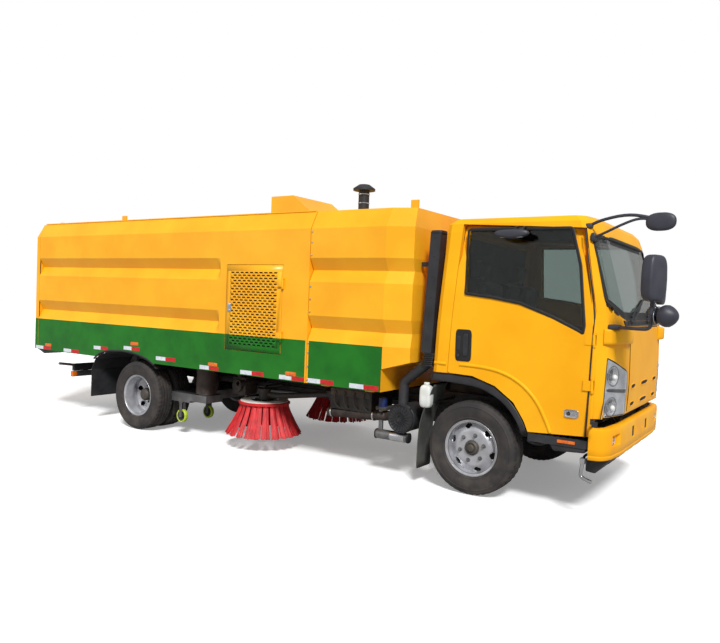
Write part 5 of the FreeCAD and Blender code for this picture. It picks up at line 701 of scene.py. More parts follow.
# Perforated service doors: rows of slots, every other row shifted by half a slot
DOOR_REAR, DOOR_FRONT, DOOR_LOW, DOOR_TOP = -2733, -1983, 1049, 1921
HOLES_REAR, HOLES_FRONT, HOLES_LOW, ROWS, COLUMNS, RISE = -2683, -2040, 1100, 27, 10, 28.1
HOLES_TOP, PITCH, SHEET = HOLES_LOW + RISE * ROWS, (HOLES_FRONT - HOLES_REAR) / COLUMNS, -1110.5
HALF_SLOT = [(-22, -2.6), (-17, -6.5), (17, -6.5), (22, -2.6)]
SLOT_CELL = [(0, 1, 6, 5), (1, 7, 6), (1, 2, 8, 7), (2, 9, 8), (2, 3, 10, 9), (3, 11, 10), (3, 0, 4, 11), (0, 5, 4)]
for word, side in SIDES:
    body = word + "_service_door"
    plain = [((DOOR_REAR, HOLES_LOW), (HOLES_REAR, HOLES_TOP)), ((HOLES_FRONT, HOLES_LOW), (DOOR_FRONT, HOLES_TOP)),
             ((DOOR_REAR, DOOR_LOW), (DOOR_FRONT, HOLES_LOW)), ((DOOR_REAR, HOLES_TOP), (DOOR_FRONT, DOOR_TOP))]
    sheet = Piece()
    for row in range(ROWS):
        z0, z1 = HOLES_LOW + RISE * row, HOLES_LOW + RISE * (row + 1)
        shift = PITCH / 2 * (row % 2)
        if shift:
            plain += [((HOLES_REAR, z0), (HOLES_REAR + shift, z1)), ((HOLES_FRONT - shift, z0), (HOLES_FRONT, z1))]
        for column in range(COLUMNS - row % 2):
            x0 = HOLES_REAR + shift + PITCH * column
            hole = [(x0 + PITCH / 2 + x, SHEET, (z0 + z1) / 2 + z) for x, z in
                    HALF_SLOT + [(-x, -z) for x, z in HALF_SLOT]]
            sheet.faces(rectangle((x0, z0), (x0 + PITCH, z1), SHEET) + hole, SLOT_CELL)
    for low, high in plain:
        sheet.faces(rectangle(low, high, SHEET), [(0, 1, 2, 3)])
    bmesh.ops.remove_doubles(sheet.bm, verts=sheet.bm.verts[:], dist=0.05)
    sheet.done(body + "_sheet", body, "body_paint", angle=30, thick=2.4, replaces=[body], side=side)
    edge = Piece()
    for (x0, z0), (x1, z1) in (((DOOR_REAR, DOOR_LOW), (DOOR_REAR + 3, DOOR_TOP)),
                               ((DOOR_FRONT - 3, DOOR_LOW), (DOOR_FRONT, DOOR_TOP)),
                               ((DOOR_REAR, DOOR_LOW), (DOOR_FRONT, DOOR_LOW + 3)),
                               ((DOOR_REAR, DOOR_TOP - 3), (DOOR_FRONT, DOOR_TOP))):
        edge.box((x0, -1109, z0), (x1, -1082, z1), 0.8)
    for share in (0.2, 0.8):
        z = DOOR_LOW + (DOOR_TOP - DOOR_LOW) * share
        edge.tube([(-1966, -1128, z - 38), (-1966, -1128, z + 38)], 11, 14, 0)
        edge.box((-2027, -1131, z - 37), (-1968, -1117, z + 37), 3)
        edge.box((-2027, -1119, z - 37), (-1995, -1107, z + 37), 3)
    edge.done(body + "_frame", body, "body_paint", side=side)
    # Behind the slots a near-black sheet with bars: painted shade for the dark inside of the body
    screen = Piece().box((HOLES_REAR - 15, -1086, HOLES_LOW - 12), (HOLES_FRONT + 15, -1084, HOLES_TOP + 12), 0.6)
    for i in range(14):
        x = HOLES_REAR + 10 + i * (HOLES_FRONT - HOLES_REAR - 20) / 13
        screen.tube([(x, -1089, HOLES_LOW), (x, -1089, HOLES_TOP)], 2, 6, 0)
    screen.done(body + "_screen", body, "painted_shade_black", "black_plastic", side=side)
    latch = Piece().pod((-2681, -1113, 1483), (58, 12, 92), power=6).pod((-2681, -1119, 1490), (30, 9, 56), power=5)
    latch.disc((-2681, -1118, 1455), OUTWARD, 9, (0, 5), 2, 16)
    latch.done(body + "_latch", body, "bright_steel", "grey_steel", side=side)

# Tailgate ribs, seal and latches
ribs = Piece()
for y in (-760, -380, 0, 380, 760):
    ribs.box((-6216, y - 30, 900), (-6203, y + 30, 2330), 5)
for z in (880, 1560, 2300):
    ribs.box((-6214, -1030, z - 28), (-6203, 1030, z + 28), 5)
ribs.done("gate_ribs", "tailgate", "body_paint")
outline = [(-1096, 818), (-1096, 2262), (-1004, 2430), (1004, 2430), (1096, 2262), (1096, 818)]
Piece().tube([(-6146, y, z) for y, z in outline], 6, 10, 1, closed=True).done(
    "gate_seal", "tailgate", "seal_rubber", "body_paint")
latches = Piece().box((-6216, -1086, 1090), (-6202, -1034, 1190), 5)
latches.tube([(-6212, -1060, 1080), (-6212, -1060, 1240)], 9, 12, 0)
latches.mirror().done("gate_latches", "tailgate", "grey_steel", "body_paint")

# Exhaust stack bands
stack = Piece()
for z in (2470, 2600, 2690):
    stack.lathe([(56, -6), (59, -4), (59, 4), (56, 6)], (-1537, -400, z), UP, 40)
stack.done("stack_bands", "chassis", "bright_steel", "black_plastic")

# Cab sides: seals round the glass, handles, lamps, creases and door gaps
WINDOW = [(0.814, 0.935), (0.53, 0.934), (0.251, 0.932), (0.198, 0.764), (0.162, 0.503), (0.167, 0.468),
          (0.320, 0.532), (0.495, 0.589), (0.650, 0.612), (0.806, 0.627), (0.811, 0.78)]
DOOR_GAP = [(0.19, 0.925), (0.15, 0.75), (0.1155, 0.568), (0.118, 0.45), (0.127, 0.2), (0.133, 0.012)]
ARCH_CREASE = [(-110, 1101), (2, 1100), (105, 1095), (202, 1083), (285, 1062), (362, 1032), (445, 982), (519, 917),
               (580, 840), (627, 753), (660, 686), (681, 632)]
REAR_CREASE = [(-352, 1095), (-300, 1096), (-236, 1097)]


def cab_places(shares):
    """(x, z) places from shares of the cab's length and height."""
    return [(CAB_FRONT - along * CAB_LONG, CAB_LOW + up * CAB_HIGH) for along, up in shares]


def filled(loop, shares):
    """A closed line with places added along each stretch."""
    return [p for a, b in zip(loop, loop[1:] + loop[:1]) for p in between(a, b, shares)]


for word, side in SIDES:
    body = word + "_door"
    names = [body, word + "_door_glass", "cab_roof", "front_panel"]
    line = side_points(names, filled(cab_places(WINDOW), (0, 0.12, 0.5, 0.88)), side, 1)
    Piece().tube(line, 13, 10, 2, 0.35, True, lean=INWARD).done(
        word + "_window_seal", body, "seal_rubber", "black_plastic")
    mid, high, low, lamp_mid = side_points(names, [(-82, 1265), (-82, 1390), (-82, 1140), (841, 801)], side)
    turn = (high - low).normalized().to_track_quat("Z", "Y").to_matrix().to_4x4()
    # The handle recess is a flat near-black pod on the door: the black cup, with painted shade for the recess's depth
    Piece().pod(mid, (146, 12, 270), turn, 7).done(word + "_handle_recess", body, "seal_rubber", "black_plastic", 50)
    grip = Piece().pod(moved(mid, 22, side * 8, 6), (46, 16, 190), turn, 4.5)
    grip.pod(moved(mid, -42, side * 6, 20), (34, 9, 120), turn, 4)
    grip.disc(moved(mid, -42, side * 6, -88), (0, side, 0), 13, (0, 7), 2, 24)
    grip.done(word + "_handle_grip", body, "black_plastic", angle=50)
    Piece().pod(lamp_mid, (112, 14, 66), power=5).done(word + "_side_lamp_base", body, "bright_steel", "grey_plastic")
    Piece().pod(moved(lamp_mid, 0, side * 9, 0), (94, 18, 50), power=4.5).done(
        word + "_side_lamp_lens", body, "lamp_cover", "lamp_glass")
    Piece().disc(moved(lamp_mid, -20, side * 6, 0), (0, side, 0), 15, (0, 6), 2, 24).done(
        word + "_side_lamp_bulb", body, "cast_metal", "lamp_glass")
    Piece().tube(side_points([body], ARCH_CREASE, side, -7), 17, 14, 2).done(word + "_arch_crease", body, "cab_paint")
    Piece().tube(side_points(["cab_rear_wall"], REAR_CREASE, side, -7), 17, 14, 1).done(
        word + "_rear_crease", "cab", "cab_paint")
    line = side_points(["front_panel", body, "cab_roof"], cab_places(DOOR_GAP), side, -1)
    Piece().tube(line, 6, 8, 2).done(word + "_door_edge", "cab", "seal_rubber", "cab_paint")

# Black arch liners under the cab
ARCH = [(-375, 1012), (-225, 1012), (0, 1000), (110, 985), (206, 938), (290, 885), (360, 820), (420, 745), (452, 690),
        (490, 612)]


def share_of(value, low, span):
    return max(0, min(1, (value - low) / span))


rows = []
for x, z in ARCH:
    u, w = x - 46 * (0.2 + 0.8 * share_of(x, -100, 500)), z - 70 * (1 - 0.75 * share_of(x, 150, 320))
    rows.append([(x, -966, z), (u + (x - u) * 0.3, -972, w + (z - w) * 0.3), (u, -966, w), (u - 4, -950, w + 4),
                 (u - 2, -720, w + 8)])
Piece().skin(rows, capped=False, opened=1).mirror().done("cab_arch_liners", "cab", "black_plastic", None, 60, 2, 5)

# Windscreen seal, black border, cowl, wipers
half = [(CAB_HALF * a, CAB_LOW + CAB_HIGH * b) for a, b in ((0.895, 0.905), (0.93, 0.59), (0.67, 0.5285))]
loop = [(-y, z) for y, z in half] + half[::-1]
screen_names = ["front_panel", "windscreen", "cab_roof"]
nose = screen_names[:2]
line = front_points(screen_names, filled(loop, (0.07, 0.25, 0.4, 0.5, 0.6, 0.75, 0.93)), 1)
Piece().tube(line, 17, 10, 2, 0.4, True, lean=FORWARD).done("windscreen_seal", "cab", "seal_rubber", "black_plastic")
border = Piece()
for places in ([(-665, 1528), (665, 1528), (660, 1596), (-660, 1596)],
               [(-925, 1636), (-665, 1528), (-660, 1596), (-868, 1690)],
               [(665, 1528), (925, 1636), (868, 1690), (660, 1596)],
               [(-925, 1636), (-868, 1690), (-862, 2120), (-905, 2180)],
               [(868, 1690), (925, 1636), (905, 2180), (862, 2120)],
               [(-862, 2135), (862, 2135), (890, 2190), (-890, 2190)]):
    border.front_patch(screen_names, places, 1.5, 0.5, 10, 4)
border.done("windscreen_border", "cab", "seal_rubber", "glass", 60)
cowl = Piece().front_patch(nose, [(-700, 1488), (700, 1488), (720, 1532), (-720, 1532)], 7, 2, 24, 3)
for spot in front_points(nose, [(-625 + i * 50, 1510) for i in range(26)], 8):
    cowl.block(spot, (3, 16, 12), 2)
cowl.done("cowl", "cab", "black_plastic")
wipers = Piece()
for y0, y1 in ((-560, -150), (60, 470)):
    base = front_points(screen_names, [(y0, 1520)], 22)[0]
    tip = front_points(screen_names, [(y1, 1640)], 26)[0]
    wipers.disc(moved(base, -14, 0, 0), (1, 0, 0.2), 17, (0, 22), 4, 20)
    wipers.tube([base, moved(base.lerp(tip, 0.15), 10, 0, 0), tip], 10, 8, 2, 0.7)
    blade = front_points(screen_names, between((y1 - 300, 1560), (y1 + 300, 1710), QUARTERS), 10)
    wipers.tube(blade, 8, 8, 1).tube([moved(p, 8, 0, 0) for p in blade[1:4]], 7, 8, 1)
wipers.done("wipers", "cab", "black_plastic")

# Nose: panel, corner deflectors, vents, seams, lower grille
Piece().front_patch(nose, [(-556, 812), (556, 812), (536, 1470), (-536, 1470)], 6, 1, 16, 12).done(
    "nose_panel", "cab", "cab_paint", angle=60)
bend = side_points(nose, [(1048, 1405)], RIGHT)
bend += front_points(nose, [(y, 1405) for y in (-945, -905, -864, -780, -675, -600, -545)])
Piece().sweep([(-24, 1348), (30, 1352), (38, 1360), (42, 1374), (42, 1446), (38, 1458), (28, 1464), (-24, 1464)],
              [(p.x, p.y) for p in bend], lambda t: min(1, 0.35 + 3 * t, 0.3 + 4 * (1 - t))).mirror().done(
    "corner_deflectors", "cab", "cab_paint", angle=40)
vents, lips = Piece(), Piece()
# The vents are flat near-black plates with rims: painted shade standing for the openings
for z in (1003, 860):
    for y, wide in ((-425, 76), (0, 136), (425, 76)):
        inner, outer = ([(y - wide, z - h), (y + wide, z - h), (y + wide, z + h), (y - wide, z + h)]
                        for h in (16, 19))
        vents.front_patch(nose, inner, 7, 2, 6, 2)
        lips.tube(front_points(nose, outer, 6), 5, 8, 1, closed=True)
vents.done("nose_vents", "cab", "painted_shade_black", "black_plastic")
lips.done("nose_vent_rims", "cab", "cab_paint")
# The seams are thin near-black lines lying on the surface: painted shade in the panel gaps
seam = Piece()
for start, end in (((-540, 1472), (-562, 812)), ((540, 1472), (562, 812)), ((-540, 1475), (540, 1475))):
    seam.tube(front_points(nose, between(start, end, EIGHTHS), 1), 3, 6, 0)
seam.done("nose_seam", "cab", "painted_shade_black", "cab_paint")
grille = Piece().box((990, -760, 728), (1004, 760, 790))
for y in range(-741, 742, 39):
    grille.box((1002, y - 3, 732), (1020, y + 3, 788), 1)
for z in (742, 759, 777):
    grille.box((1010, -755, z - 4), (1026, 755, z + 4), 2)
grille.done("lower_grille", "cab", "black_plastic")

# Front bumper: a rounded band with lamp pockets and slits, over a black valance
half = [(984, -1004), (1012, -1003), (1040, -998), (1064, -988), (1084, -972), (1102, -946), (1117, -912),
        (1128, -876), (1146, -668), (1149, -640), (1150, -480), (1150, -400), (1150, -300), (1150, -205)]
plan = half + [(1149, 0)] + flipped(half)
BAND = [(-62, 476), (-14, 468), (-6, 471), (-1.5, 480), (0, 497), (-3, 501), (-3, 505), (0, 509), (1, 562), (1, 658),
        (0, 690), (-4, 704), (-14, 711), (-62, 712)]
LAMP_CELL, SLIT_CELL, FACE_CELL = 7, 12, 8
bumper = Piece().sweep(BAND, plan)
lamp_spots, slot_spots = ([bumper.pocket((i, FACE_CELL), 26, BACKWARD, share) for i in (cell, len(plan) - 2 - cell)]
                          for cell, share in ((LAMP_CELL, 0.9), (SLIT_CELL, 0.96)))
bumper.done("bumper_band", "chassis", "cab_paint", angle=38, replaces=["front_bumper"])
valance = Piece().prism([(945, 360), (1012, 352), (1024, 358), (1126, 468), (1100, 490), (990, 490), (945, 460)],
                        -900, 900, 8)
for y in (-640, -320, 0, 320, 640):
    valance.box((1040, y - 110, 408), (1082, y + 110, 424))
valance.box((985, -960, 478), (1060, 960, 700), 6).done("front_valance", "chassis", "black_plastic")
slots, fog, fog_lens, marks = Piece(), Piece(), Piece(), Piece()
# A near-black block at the back of each slit pocket: painted shade for a deeper opening
for spot in slot_spots:
    slots.block(moved(spot, -16, 0, 0), (11, 41, 41), 3)
slots.done("bumper_slots", "chassis", "painted_shade_black", "black_plastic")
for spot in lamp_spots:
    spot = moved(spot, -19, math.copysign(36, spot.y), -2)
    fog.plug([(30, -6), (33, 0), (30, 3), (14, -8), (4, -9)], spot, FORWARD, 28)
    fog_lens.pod(moved(spot, 4, 0, 0), (14, 56, 56))
fog.done("fog_bowls", "chassis", "bright_steel", "grey_plastic")
fog_lens.done("fog_lenses", "chassis", "lamp_cover", "lamp_glass")
for y in (-105, 105):
    marks.disc((1149, y, 590), FORWARD, 11, (0, 4), 1, 20)
    frame_line = [(1149, y - 34, 556), (1149, y + 34, 556), (1149, y + 34, 630), (1149, y - 34, 630)]
    marks.tube(frame_line, 3, 6, 1, closed=True)
marks.done("plate_fixings", "chassis", "cab_paint")

# Headlights: a silver core under the clear cover, with bowls laid to the cover's curve and bulbs
core = cad_copy("headlights")
bmesh.ops.remove_doubles(core.bm, verts=core.bm.verts[:], dist=0.05)
bmesh.ops.dissolve_limit(core.bm, angle_limit=0.02, verts=core.bm.verts[:], edges=core.bm.edges[:])
core.bm.normal_update()
for v, normal in [(v, v.normal.copy()) for v in core.bm.verts]:
    v.co -= normal * 12
core.done("headlight_cores", "cab", "lamp_silver", "lamp_glass", 25)
bulbs = Piece()
way = Vector((-0.86, 0.5, 0)).normalized()
for y, z, size in ((-796, 1108, 70), (-800, 872, 68)):
    spot = touch(["headlights"], Vector((1000, y, z)) - way * BACK_OFF, way)
    bowl = Piece().plug([(size, 0), (size + 5, -2), (size + 1, -4), (size * 0.85, -1), (size * 0.6, 1),
                         (size * 0.35, 3), (size * 0.1, 3)], spot, way, 40)
    rim = Piece().lathe([(size + 2, -4), (size + 3, -6), (size + 7, -6), (size + 8, -2)], spot, way, 40)
    for form, name, paint in ((bowl, "headlight_bowls_%d", "bright_steel"),
                              (rim, "headlight_rims_%d", "grey_plastic")):
        for v in form.bm.verts:
            depth = (v.co - spot).dot(way)
            hit = touch(["headlights"], v.co - way * (BACK_OFF + depth), way)
            if hit:
                v.co = hit + way * (9 + depth)
        form.mirror().done(name % z, "cab", paint, "lamp_glass", 50)
    bulbs.pod(moved(spot + way * 6, 4, 12, -10), (46, 46, 46), power=2)
BAR = ((-960, 1004), (-905, 1002), (-860, 998), (-800, 993), (-740, 988), (-680, 984), (-640, 982))
Piece().tube([moved(touch(["headlights"], (1300, y, z), BACKWARD), -9, 0, 0) for y, z in BAR], 13, 10, 1, 0.5,
             lean=FORWARD).mirror().done("headlight_bars", "cab", "grey_plastic", "lamp_glass")
bulbs.mirror().done("headlight_bulbs", "cab", "plate_white", "lamp_glass")
lamp_names = ["headlights", "front_panel"]
Piece().patch(lamp_names, [(1004, -1100, 782), (1062, -1100, 782), (1080, -1100, 1268), (1004, -1100, 1268)], INWARD,
              3, 1, 8, 14).mirror().done("headlight_fillets", "cab", "cab_paint", angle=60)
Piece().side_patch(["front_panel"], (985, 738), (1070, 780), -1100, 3, 1, 8, 3).mirror().done(
    "nose_corner_strips", "cab", "black_plastic", angle=60)
# A thin near-black line where the headlight meets the side: painted shade in the joint
line = side_points(lamp_names, between((1062, 790), (1080, 1246), QUARTERS), RIGHT, 2)
Piece().tube(line, 3.5, 6, 0).mirror().done("headlight_edges", "cab", "painted_shade_black", "black_plastic", 60)


# Mirrors
def narrowed(p):
    """A mirror head's outline, narrower towards its top."""
    share = p.z / 165
    return Vector((p.x, p.y * (1 - 0.1 * share * share - 0.04 * share), p.z))


def domed(p):
    """A round mirror's shell, drawn in towards the front."""
    grow = 1 - 0.3 * max(0, p.x / 74)
    return Vector((p.x, p.y * grow, p.z * grow))


def hooded(p):
    """The kerb mirror's shell, fuller underneath."""
    return Vector((p.x, p.y, p.z * (1.12 - 0.5 * (p.x / 145) ** 2 if p.z < 0 else 0.8)))


def turned(degrees, axis="Z"):
    return Matrix.Rotation(math.radians(degrees), 4, axis)


yaw = turned(-23)
mirror = Piece().pod((1414, -1140, 1843), (100, 204, 328), yaw, 4.6, 16, 32, narrowed)
mirror.pod((1512, -1115, 1583), (148, 158, 158), turned(-20), 2.1, change=domed)
mirror.pod((1414, -1000, 2253), (212, 62, 132), turned(-8), 2.5)
mirror.pod((1060, 1143, 1843), (84, 190, 328), None, 4.6, change=narrowed)
for middle, size, power in (((1116, -915, 1483), (100, 90, 40), 3.5), ((884, -898, 2248), (64, 40, 44), 3),
                            ((926, -918, 2160), (44, 36, 70), 3)):
    mirror.pod(middle, size, power=power)
for points, radius, sides, rounds in (
        ([(1138, -905, 1482), (1180, -985, 1482), (1300, -1060, 1482), (1400, -1105, 1484), (1402, -1106, 1560),
          (1402, -1110, 1690)], 13, 14, 2),
        ([(1400, -1105, 1560), (1440, -1108, 1580), (1520, -1112, 1583)], 12, 12, 1),
        ([(1400, -1105, 1590), (1400, -1106, 1640)], 20, 14, 0),
        ([(882, -896, 2250), (990, -930, 2290), (1180, -975, 2318), (1330, -996, 2290), (1400, -1000, 2262)],
         12, 12, 2),
        ([(930, -922, 2160), (1000, -945, 2180), (1130, -968, 2240), (1260, -988, 2286), (1360, -998, 2270)],
         10, 12, 2)):
    mirror.tube(points, radius, sides, rounds)
for z in (1758, 1928):
    mirror.tube([(965, 905, z), (990, 960, z), (1040, 1060, z), (1060, 1100, z)], 12)
    mirror.pod((966, 912, z), (50, 40, 60), power=3)
mirror.done("mirror_heads", "cab", "mirror_plastic", "black_plastic", 60, replaces=["mirrors"])
MIRROR_ROOT, ROOT_LOW = -912, 2140  # the CAD door's own mirror is left out above and outside this
skin = cad_copy("right_door", lambda places: all(p.y > MIRROR_ROOT or p.z < ROOT_LOW for p in places))
bmesh.ops.remove_doubles(skin.bm, verts=skin.bm.verts[:], dist=0.02)
skin.done("right_door_skin", "right_door", "cab_paint", angle=30, replaces=["right_door"])
Piece().pod((318, -1043, 2188), (290, 84, 76), power=2.8, change=hooded).done(
    "kerb_mirror_shell", "right_door", "mirror_plastic", "black_plastic", 60)
Piece().pod((318, -1050, 2160), (200, 50, 22)).done(
    "kerb_mirror_face", "right_door", "bright_steel", "black_plastic", 60)
bracket = Piece().box((318, -936, 2222), (412, -900, 2252), 6).pod((365, -1020, 2216), (96, 60, 26), power=4)
for x in (332, 398):
    bracket.tube([(x, -915, 2240), (x, -960, 2250), (x, -1000, 2240), (x, -1030, 2214)], 9, 10)
bracket.done("kerb_mirror_bracket", "right_door", "seal_rubber", "black_plastic", 50)
middle = moved((1414, -1145, 1843), *(yaw.to_3x3() @ Vector((-33, 0, 0))))
glassy = Piece().pod(middle, (10, 160, 292), yaw, 3.6, 16, 32, narrowed)
glassy.plug([(4, -2), (66, -2), (66, 2), (4, 2)], (1446, -1092, 1583), (0.94, -0.34, 0), 40)
glassy.pod((1020, 1143, 1843), (10, 162, 292), None, 4.6, change=narrowed)
glassy.done("mirror_faces", "cab", "mirror_face", "black_plastic")

# Steps, reflector strips and the washer pipe
steps = Piece()
for x in range(540, 925, 48):
    steps.box((x, -978, 605), (x + 22, -812, 610), 1.5)
steps.mirror().done("step_treads", "cab", "seal_rubber", "black_plastic")
Piece().prism([(676, 548), (706, 500), (722, 494), (948, 508), (956, 516), (956, 548)], -972, -820, 8).mirror().done(
    "step_wells", "cab", "black_plastic", angle=40)
Piece().side_patch(["cab_steps"], (742, 566), (880, 590), -985, 4, 2, 6, 2).mirror().done(
    "step_reflectors", "cab", "amber_lens", "black_plastic")
pipe = Piece().tube([(938, -950, 462), (932, -950, 400), (924, -950, 340), (934, -952, 318), (990, -966, 304),
                     (1014, -972, 300)], 14, 14).box((916, -968, 424), (956, -932, 470))
pipe.tube([(938, -950, 464), (944, -900, 490), (990, -830, 500)], 10, 10)
pipe.done("spray_pipe", "chassis", "bright_steel", "grey_steel")

# Front flaps, snorkel bellows, canister ribs, bottle
rows = [[(x, -968 + 256 * t, z) for t in (0, 0.02, 0.5, 0.98, 1)] for x, z in
        ((-352, 900), (-392, 800), (-440, 690), (-478, 560), (-492, 420), (-494, 146))]
Piece().skin(rows, capped=False, opened=1).mirror().done(
    "front_flaps", "chassis", "flap_rubber", "black_plastic", 60, 2, 7)
Piece().tube([(-420, y, 735) for y in (-700, -560, -430)], 14, 12, 0).tube(
    [(-420, -960, 735), (-420, -700, 735)], 12, 12, 0).mirror().done("flap_holders", "chassis", "chassis_paint")
bellows = Piece()
for i in range(7):
    wide = 116 - (i % 2) * 8
    bellows.pod((-442 + 3 * i, -900, 1062 + i * 17), (wide, wide + 10, 15), power=6, rows=6)
bellows.done("snorkel_bellows", "chassis", "seal_rubber", "black_plastic", 50)
snorkel = Piece()
for z in (1300, 1480, 1660, 1840, 2020, 2180):
    snorkel.pod((-450 + (z - 1174) * 0.0474, -962, z), (12, 8, 12), power=2)
snorkel.pod((-398, -900, 2226), (112, 130, 34), power=5).done("snorkel_trim", "chassis", "black_plastic")
can, middle = Piece(), (-690, -950, 560)
for i in range(20):
    turn = Matrix.Rotation(math.tau * i / 20, 4, "Y")
    can.block(moved(middle, *(turn @ Vector((70, -4, 0)))), (44, 5, 3), 2, turn)
for radius, tall in ((124, 8), (112, 6), (60, 9), (28, 12)):
    can.lathe([(radius - 5, 0), (radius, -tall), (radius + 4, 0)], middle, steps=56)
can.lathe([(129, -14), (133, -10), (133, 10), (129, 14)], moved(middle, 0, 40, 0), steps=56)
for turn in (math.tau * (i + 0.4) / 3 for i in range(3)):
    can.block(moved(middle, math.cos(turn) * 128, 21, math.sin(turn) * 128), (8, 19, 8), 3)
can.done("canister_ribs", "chassis", "black_plastic")
Piece().pod((-440, -935, 790), (112, 92, 200), power=4, rows=20).disc((-440, -935, 888), UP, 26, (0, 26), 5, 28).done(
    "expansion_bottle", "chassis", "white_plastic", "black_plastic", 50)
Piece().box((-500, -900, 700), (-380, -870, 730)).tube(
    [(-440, -890, 715), (-440, -640, 735), (-440, -430, 735)], 12, 10, 0).done(
    "bottle_bracket", "chassis", "chassis_paint")
Piece().plug([(2, 652), (26, 650), (38, 643), (44, 636), (45.6, 622), (45.6, 500), (44, 492), (44.2, 486)],
             (-1300, -880, 382), FORWARD, 40).done("reservoir_shell", "chassis", "bright_steel", "grey_steel", 30)

# Hoses, filter, reservoir ends and lines along the frame
Piece().ribbed([(-1545, -850, 512), (-1400, -852, 520), (-1200, -854, 528), (-1000, -858, 540), (-860, -880, 560)],
               44, 16, 0.06).done("ribbed_hose", "chassis", "hose_rubber", angle=60)
clamps = Piece()
for x, z in ((-1500, 514), (-1020, 538), (-905, 552)):
    clamps.lathe([(46, -8), (50, -7), (50, 7), (46, 8)], (x, -856, z), (1, 0.02, 0.06), 36)
clamps.done("hose_clamps", "chassis", "bright_steel", "grey_steel")
middle = (-905, -900, 640)
Piece().disc(middle, UP, 40, (0, 84), 8, 40).lathe([(40, 2), (43, 4), (43, 12), (40, 14)], middle, UP, 40).done(
    "oil_filter", "chassis", "blue_paint", "chassis_paint")
Piece().box((-960, -940, 610), (-850, -860, 642), 6).box((-930, -880, 600), (-880, -500, 630), 6).disc(
    (-880, -930, 620), OUTWARD, 16, (0, 22), 3, 20).disc((-940, -930, 620), OUTWARD, 12, (0, 18), 3, 20).done(
    "filter_head", "chassis", "cast_metal")
Piece().pod((-968, -880, 382), (26, 94, 94)).pod((-632, -880, 382), (26, 94, 94)).done(
    "reservoir_ends", "chassis", "seal_rubber", "grey_steel", 60)
lines = Piece()
for y, z, start, stop in ((-438, 640, -5200, 900), (-438, 662, -5200, 900), (438, 640, -5200, 900),
                          (438, 690, -4600, 600), (-440, 720, -3900, -700)):
    clipped = [(x, y + random.uniform(-4, 4), z + random.uniform(-6, 6)) for x in range(start + 420, stop - 80, 420)]
    lines.tube([(start, y, z), *clipped, (stop, y, z)], 7, 8)
for side in (RIGHT, LEFT):
    for (x0, y0, z0), (x1, y1, z1), (x2, y2, z2), (y3, z3) in (
            ((300, 438, 662), (200, 498, 640), (180, 620, 640), (690, 632)),
            ((330, 438, 640), (230, 488, 610), (170, 640, 606), (712, 628))):
        lines.tube([(-2750 + x0, side * y0, z0), (-2750 + x1, side * y1, z1), (-2750 + x2, side * y2, z2),
                    (-2520, side * y3, z3)], 9, 10, 3)
lines.done("frame_lines", "chassis", "seal_rubber", "chassis_paint", 60)
middle = (-2750, -850, 665)
ring = Piece().lathe([(26, -30), (37, -30), (40, -26), (40, 0), (37, 4), (26, 4)], middle, steps=36)
ring.lathe([(36, 4), (36, 60), (26, 60), (26, 4)], middle, steps=36).box((-2770, -800, 650), (-2730, -420, 680), 5)
ring.mirror().done("suction_stub", "chassis", "chassis_paint")
valves = Piece().box((-1500, -906, 690), (-1040, -898, 750), 3)
for x in (-1440, -1330, -1220, -1110):
    valves.disc((x, -902, 720), OUTWARD, 15, (0, 16), 3, 20)
    valves.tube([(x, -914, 718), (x + 8, -930, 660), (x + 20, -925, 600), (x + 60, -880, 560)], 8, 8)
valves.done("valve_row", "chassis", "cast_metal", "chassis_paint")
Piece().box((-3060, -640, 500), (-2860, -440, 700), 14).disc((-2960, -650, 600), OUTWARD, 70, (0, 30), 8, 36).tube(
    [(-2960, -600, 690), (-3000, -640, 760), (-3120, -640, 770)], 26, 14).done("pump_unit", "chassis", "cast_metal")
bolts = Piece()
for x in range(-5400, 900, 210):
    for z in (745, 615):
        bolts.disc((x, -425, z), OUTWARD, 9, (0, 7), 2, 6)
bolts.mirror().done("frame_bolts", "chassis", "cast_metal", "chassis_paint")
clips = Piece()
for x, y, top in ((0, -390, 470), (REAR_X, -466, 520)):
    for dx in (-60, 60):
        for dy in (-41, 41):
            clips.tube([(x + dx, y + dy, top - 160), (x + dx, y + dy, top + 20)], 8, 10, 0)
    clips.box((x - 90, y - 52, top + 10), (x + 90, y + 52, top + 24), 3)
clips.mirror().done("spring_clips", "chassis", "cast_metal", "chassis_paint")
band = Piece()
for x in (-820, -1400):
    band.box((x - 15, 960, 352), (x + 15, 966, 738), 2).box((x - 15, 505, 740), (x + 15, 964, 744), 2)
band.disc((-1110, 960, 640), (0, 1, 0), 42, (0, 22), 5, 36).done("tank_bands", "chassis", "seal_rubber", "grey_steel")

# Rear lamps on the underrun bar, with a blank plate between them
Piece().box((-5640, -935, 548), (-5596, -590, 640), 7).box((-5620, -800, 530), (-5604, -720, 560), 3).mirror().done(
    "rear_lamp_boxes", "chassis", "black_plastic", "grey_steel")
for colour, paint, y, wide in (("red", "red_lens", -860, 130), ("amber", "amber_lens", -735, 104),
                               ("white", "plate_white", -640, 70)):
    Piece().pod((-5642, y, 594), (12, wide, 74), power=6).mirror().done(
        "rear_%s_lenses" % colour, "chassis", paint, "grey_steel")
Piece().box((-5626, -150, 555), (-5620, 150, 640), 2).box((-5618, -40, 530), (-5606, 40, 570), 2).done(
    "rear_blank_plate", "chassis", "plate_white", "grey_steel")
Piece().box((-5625, -962, 477), (-5575, -900, 543)).mirror().done(
    "underrun_ends", "chassis", "amber_lens", "grey_steel")

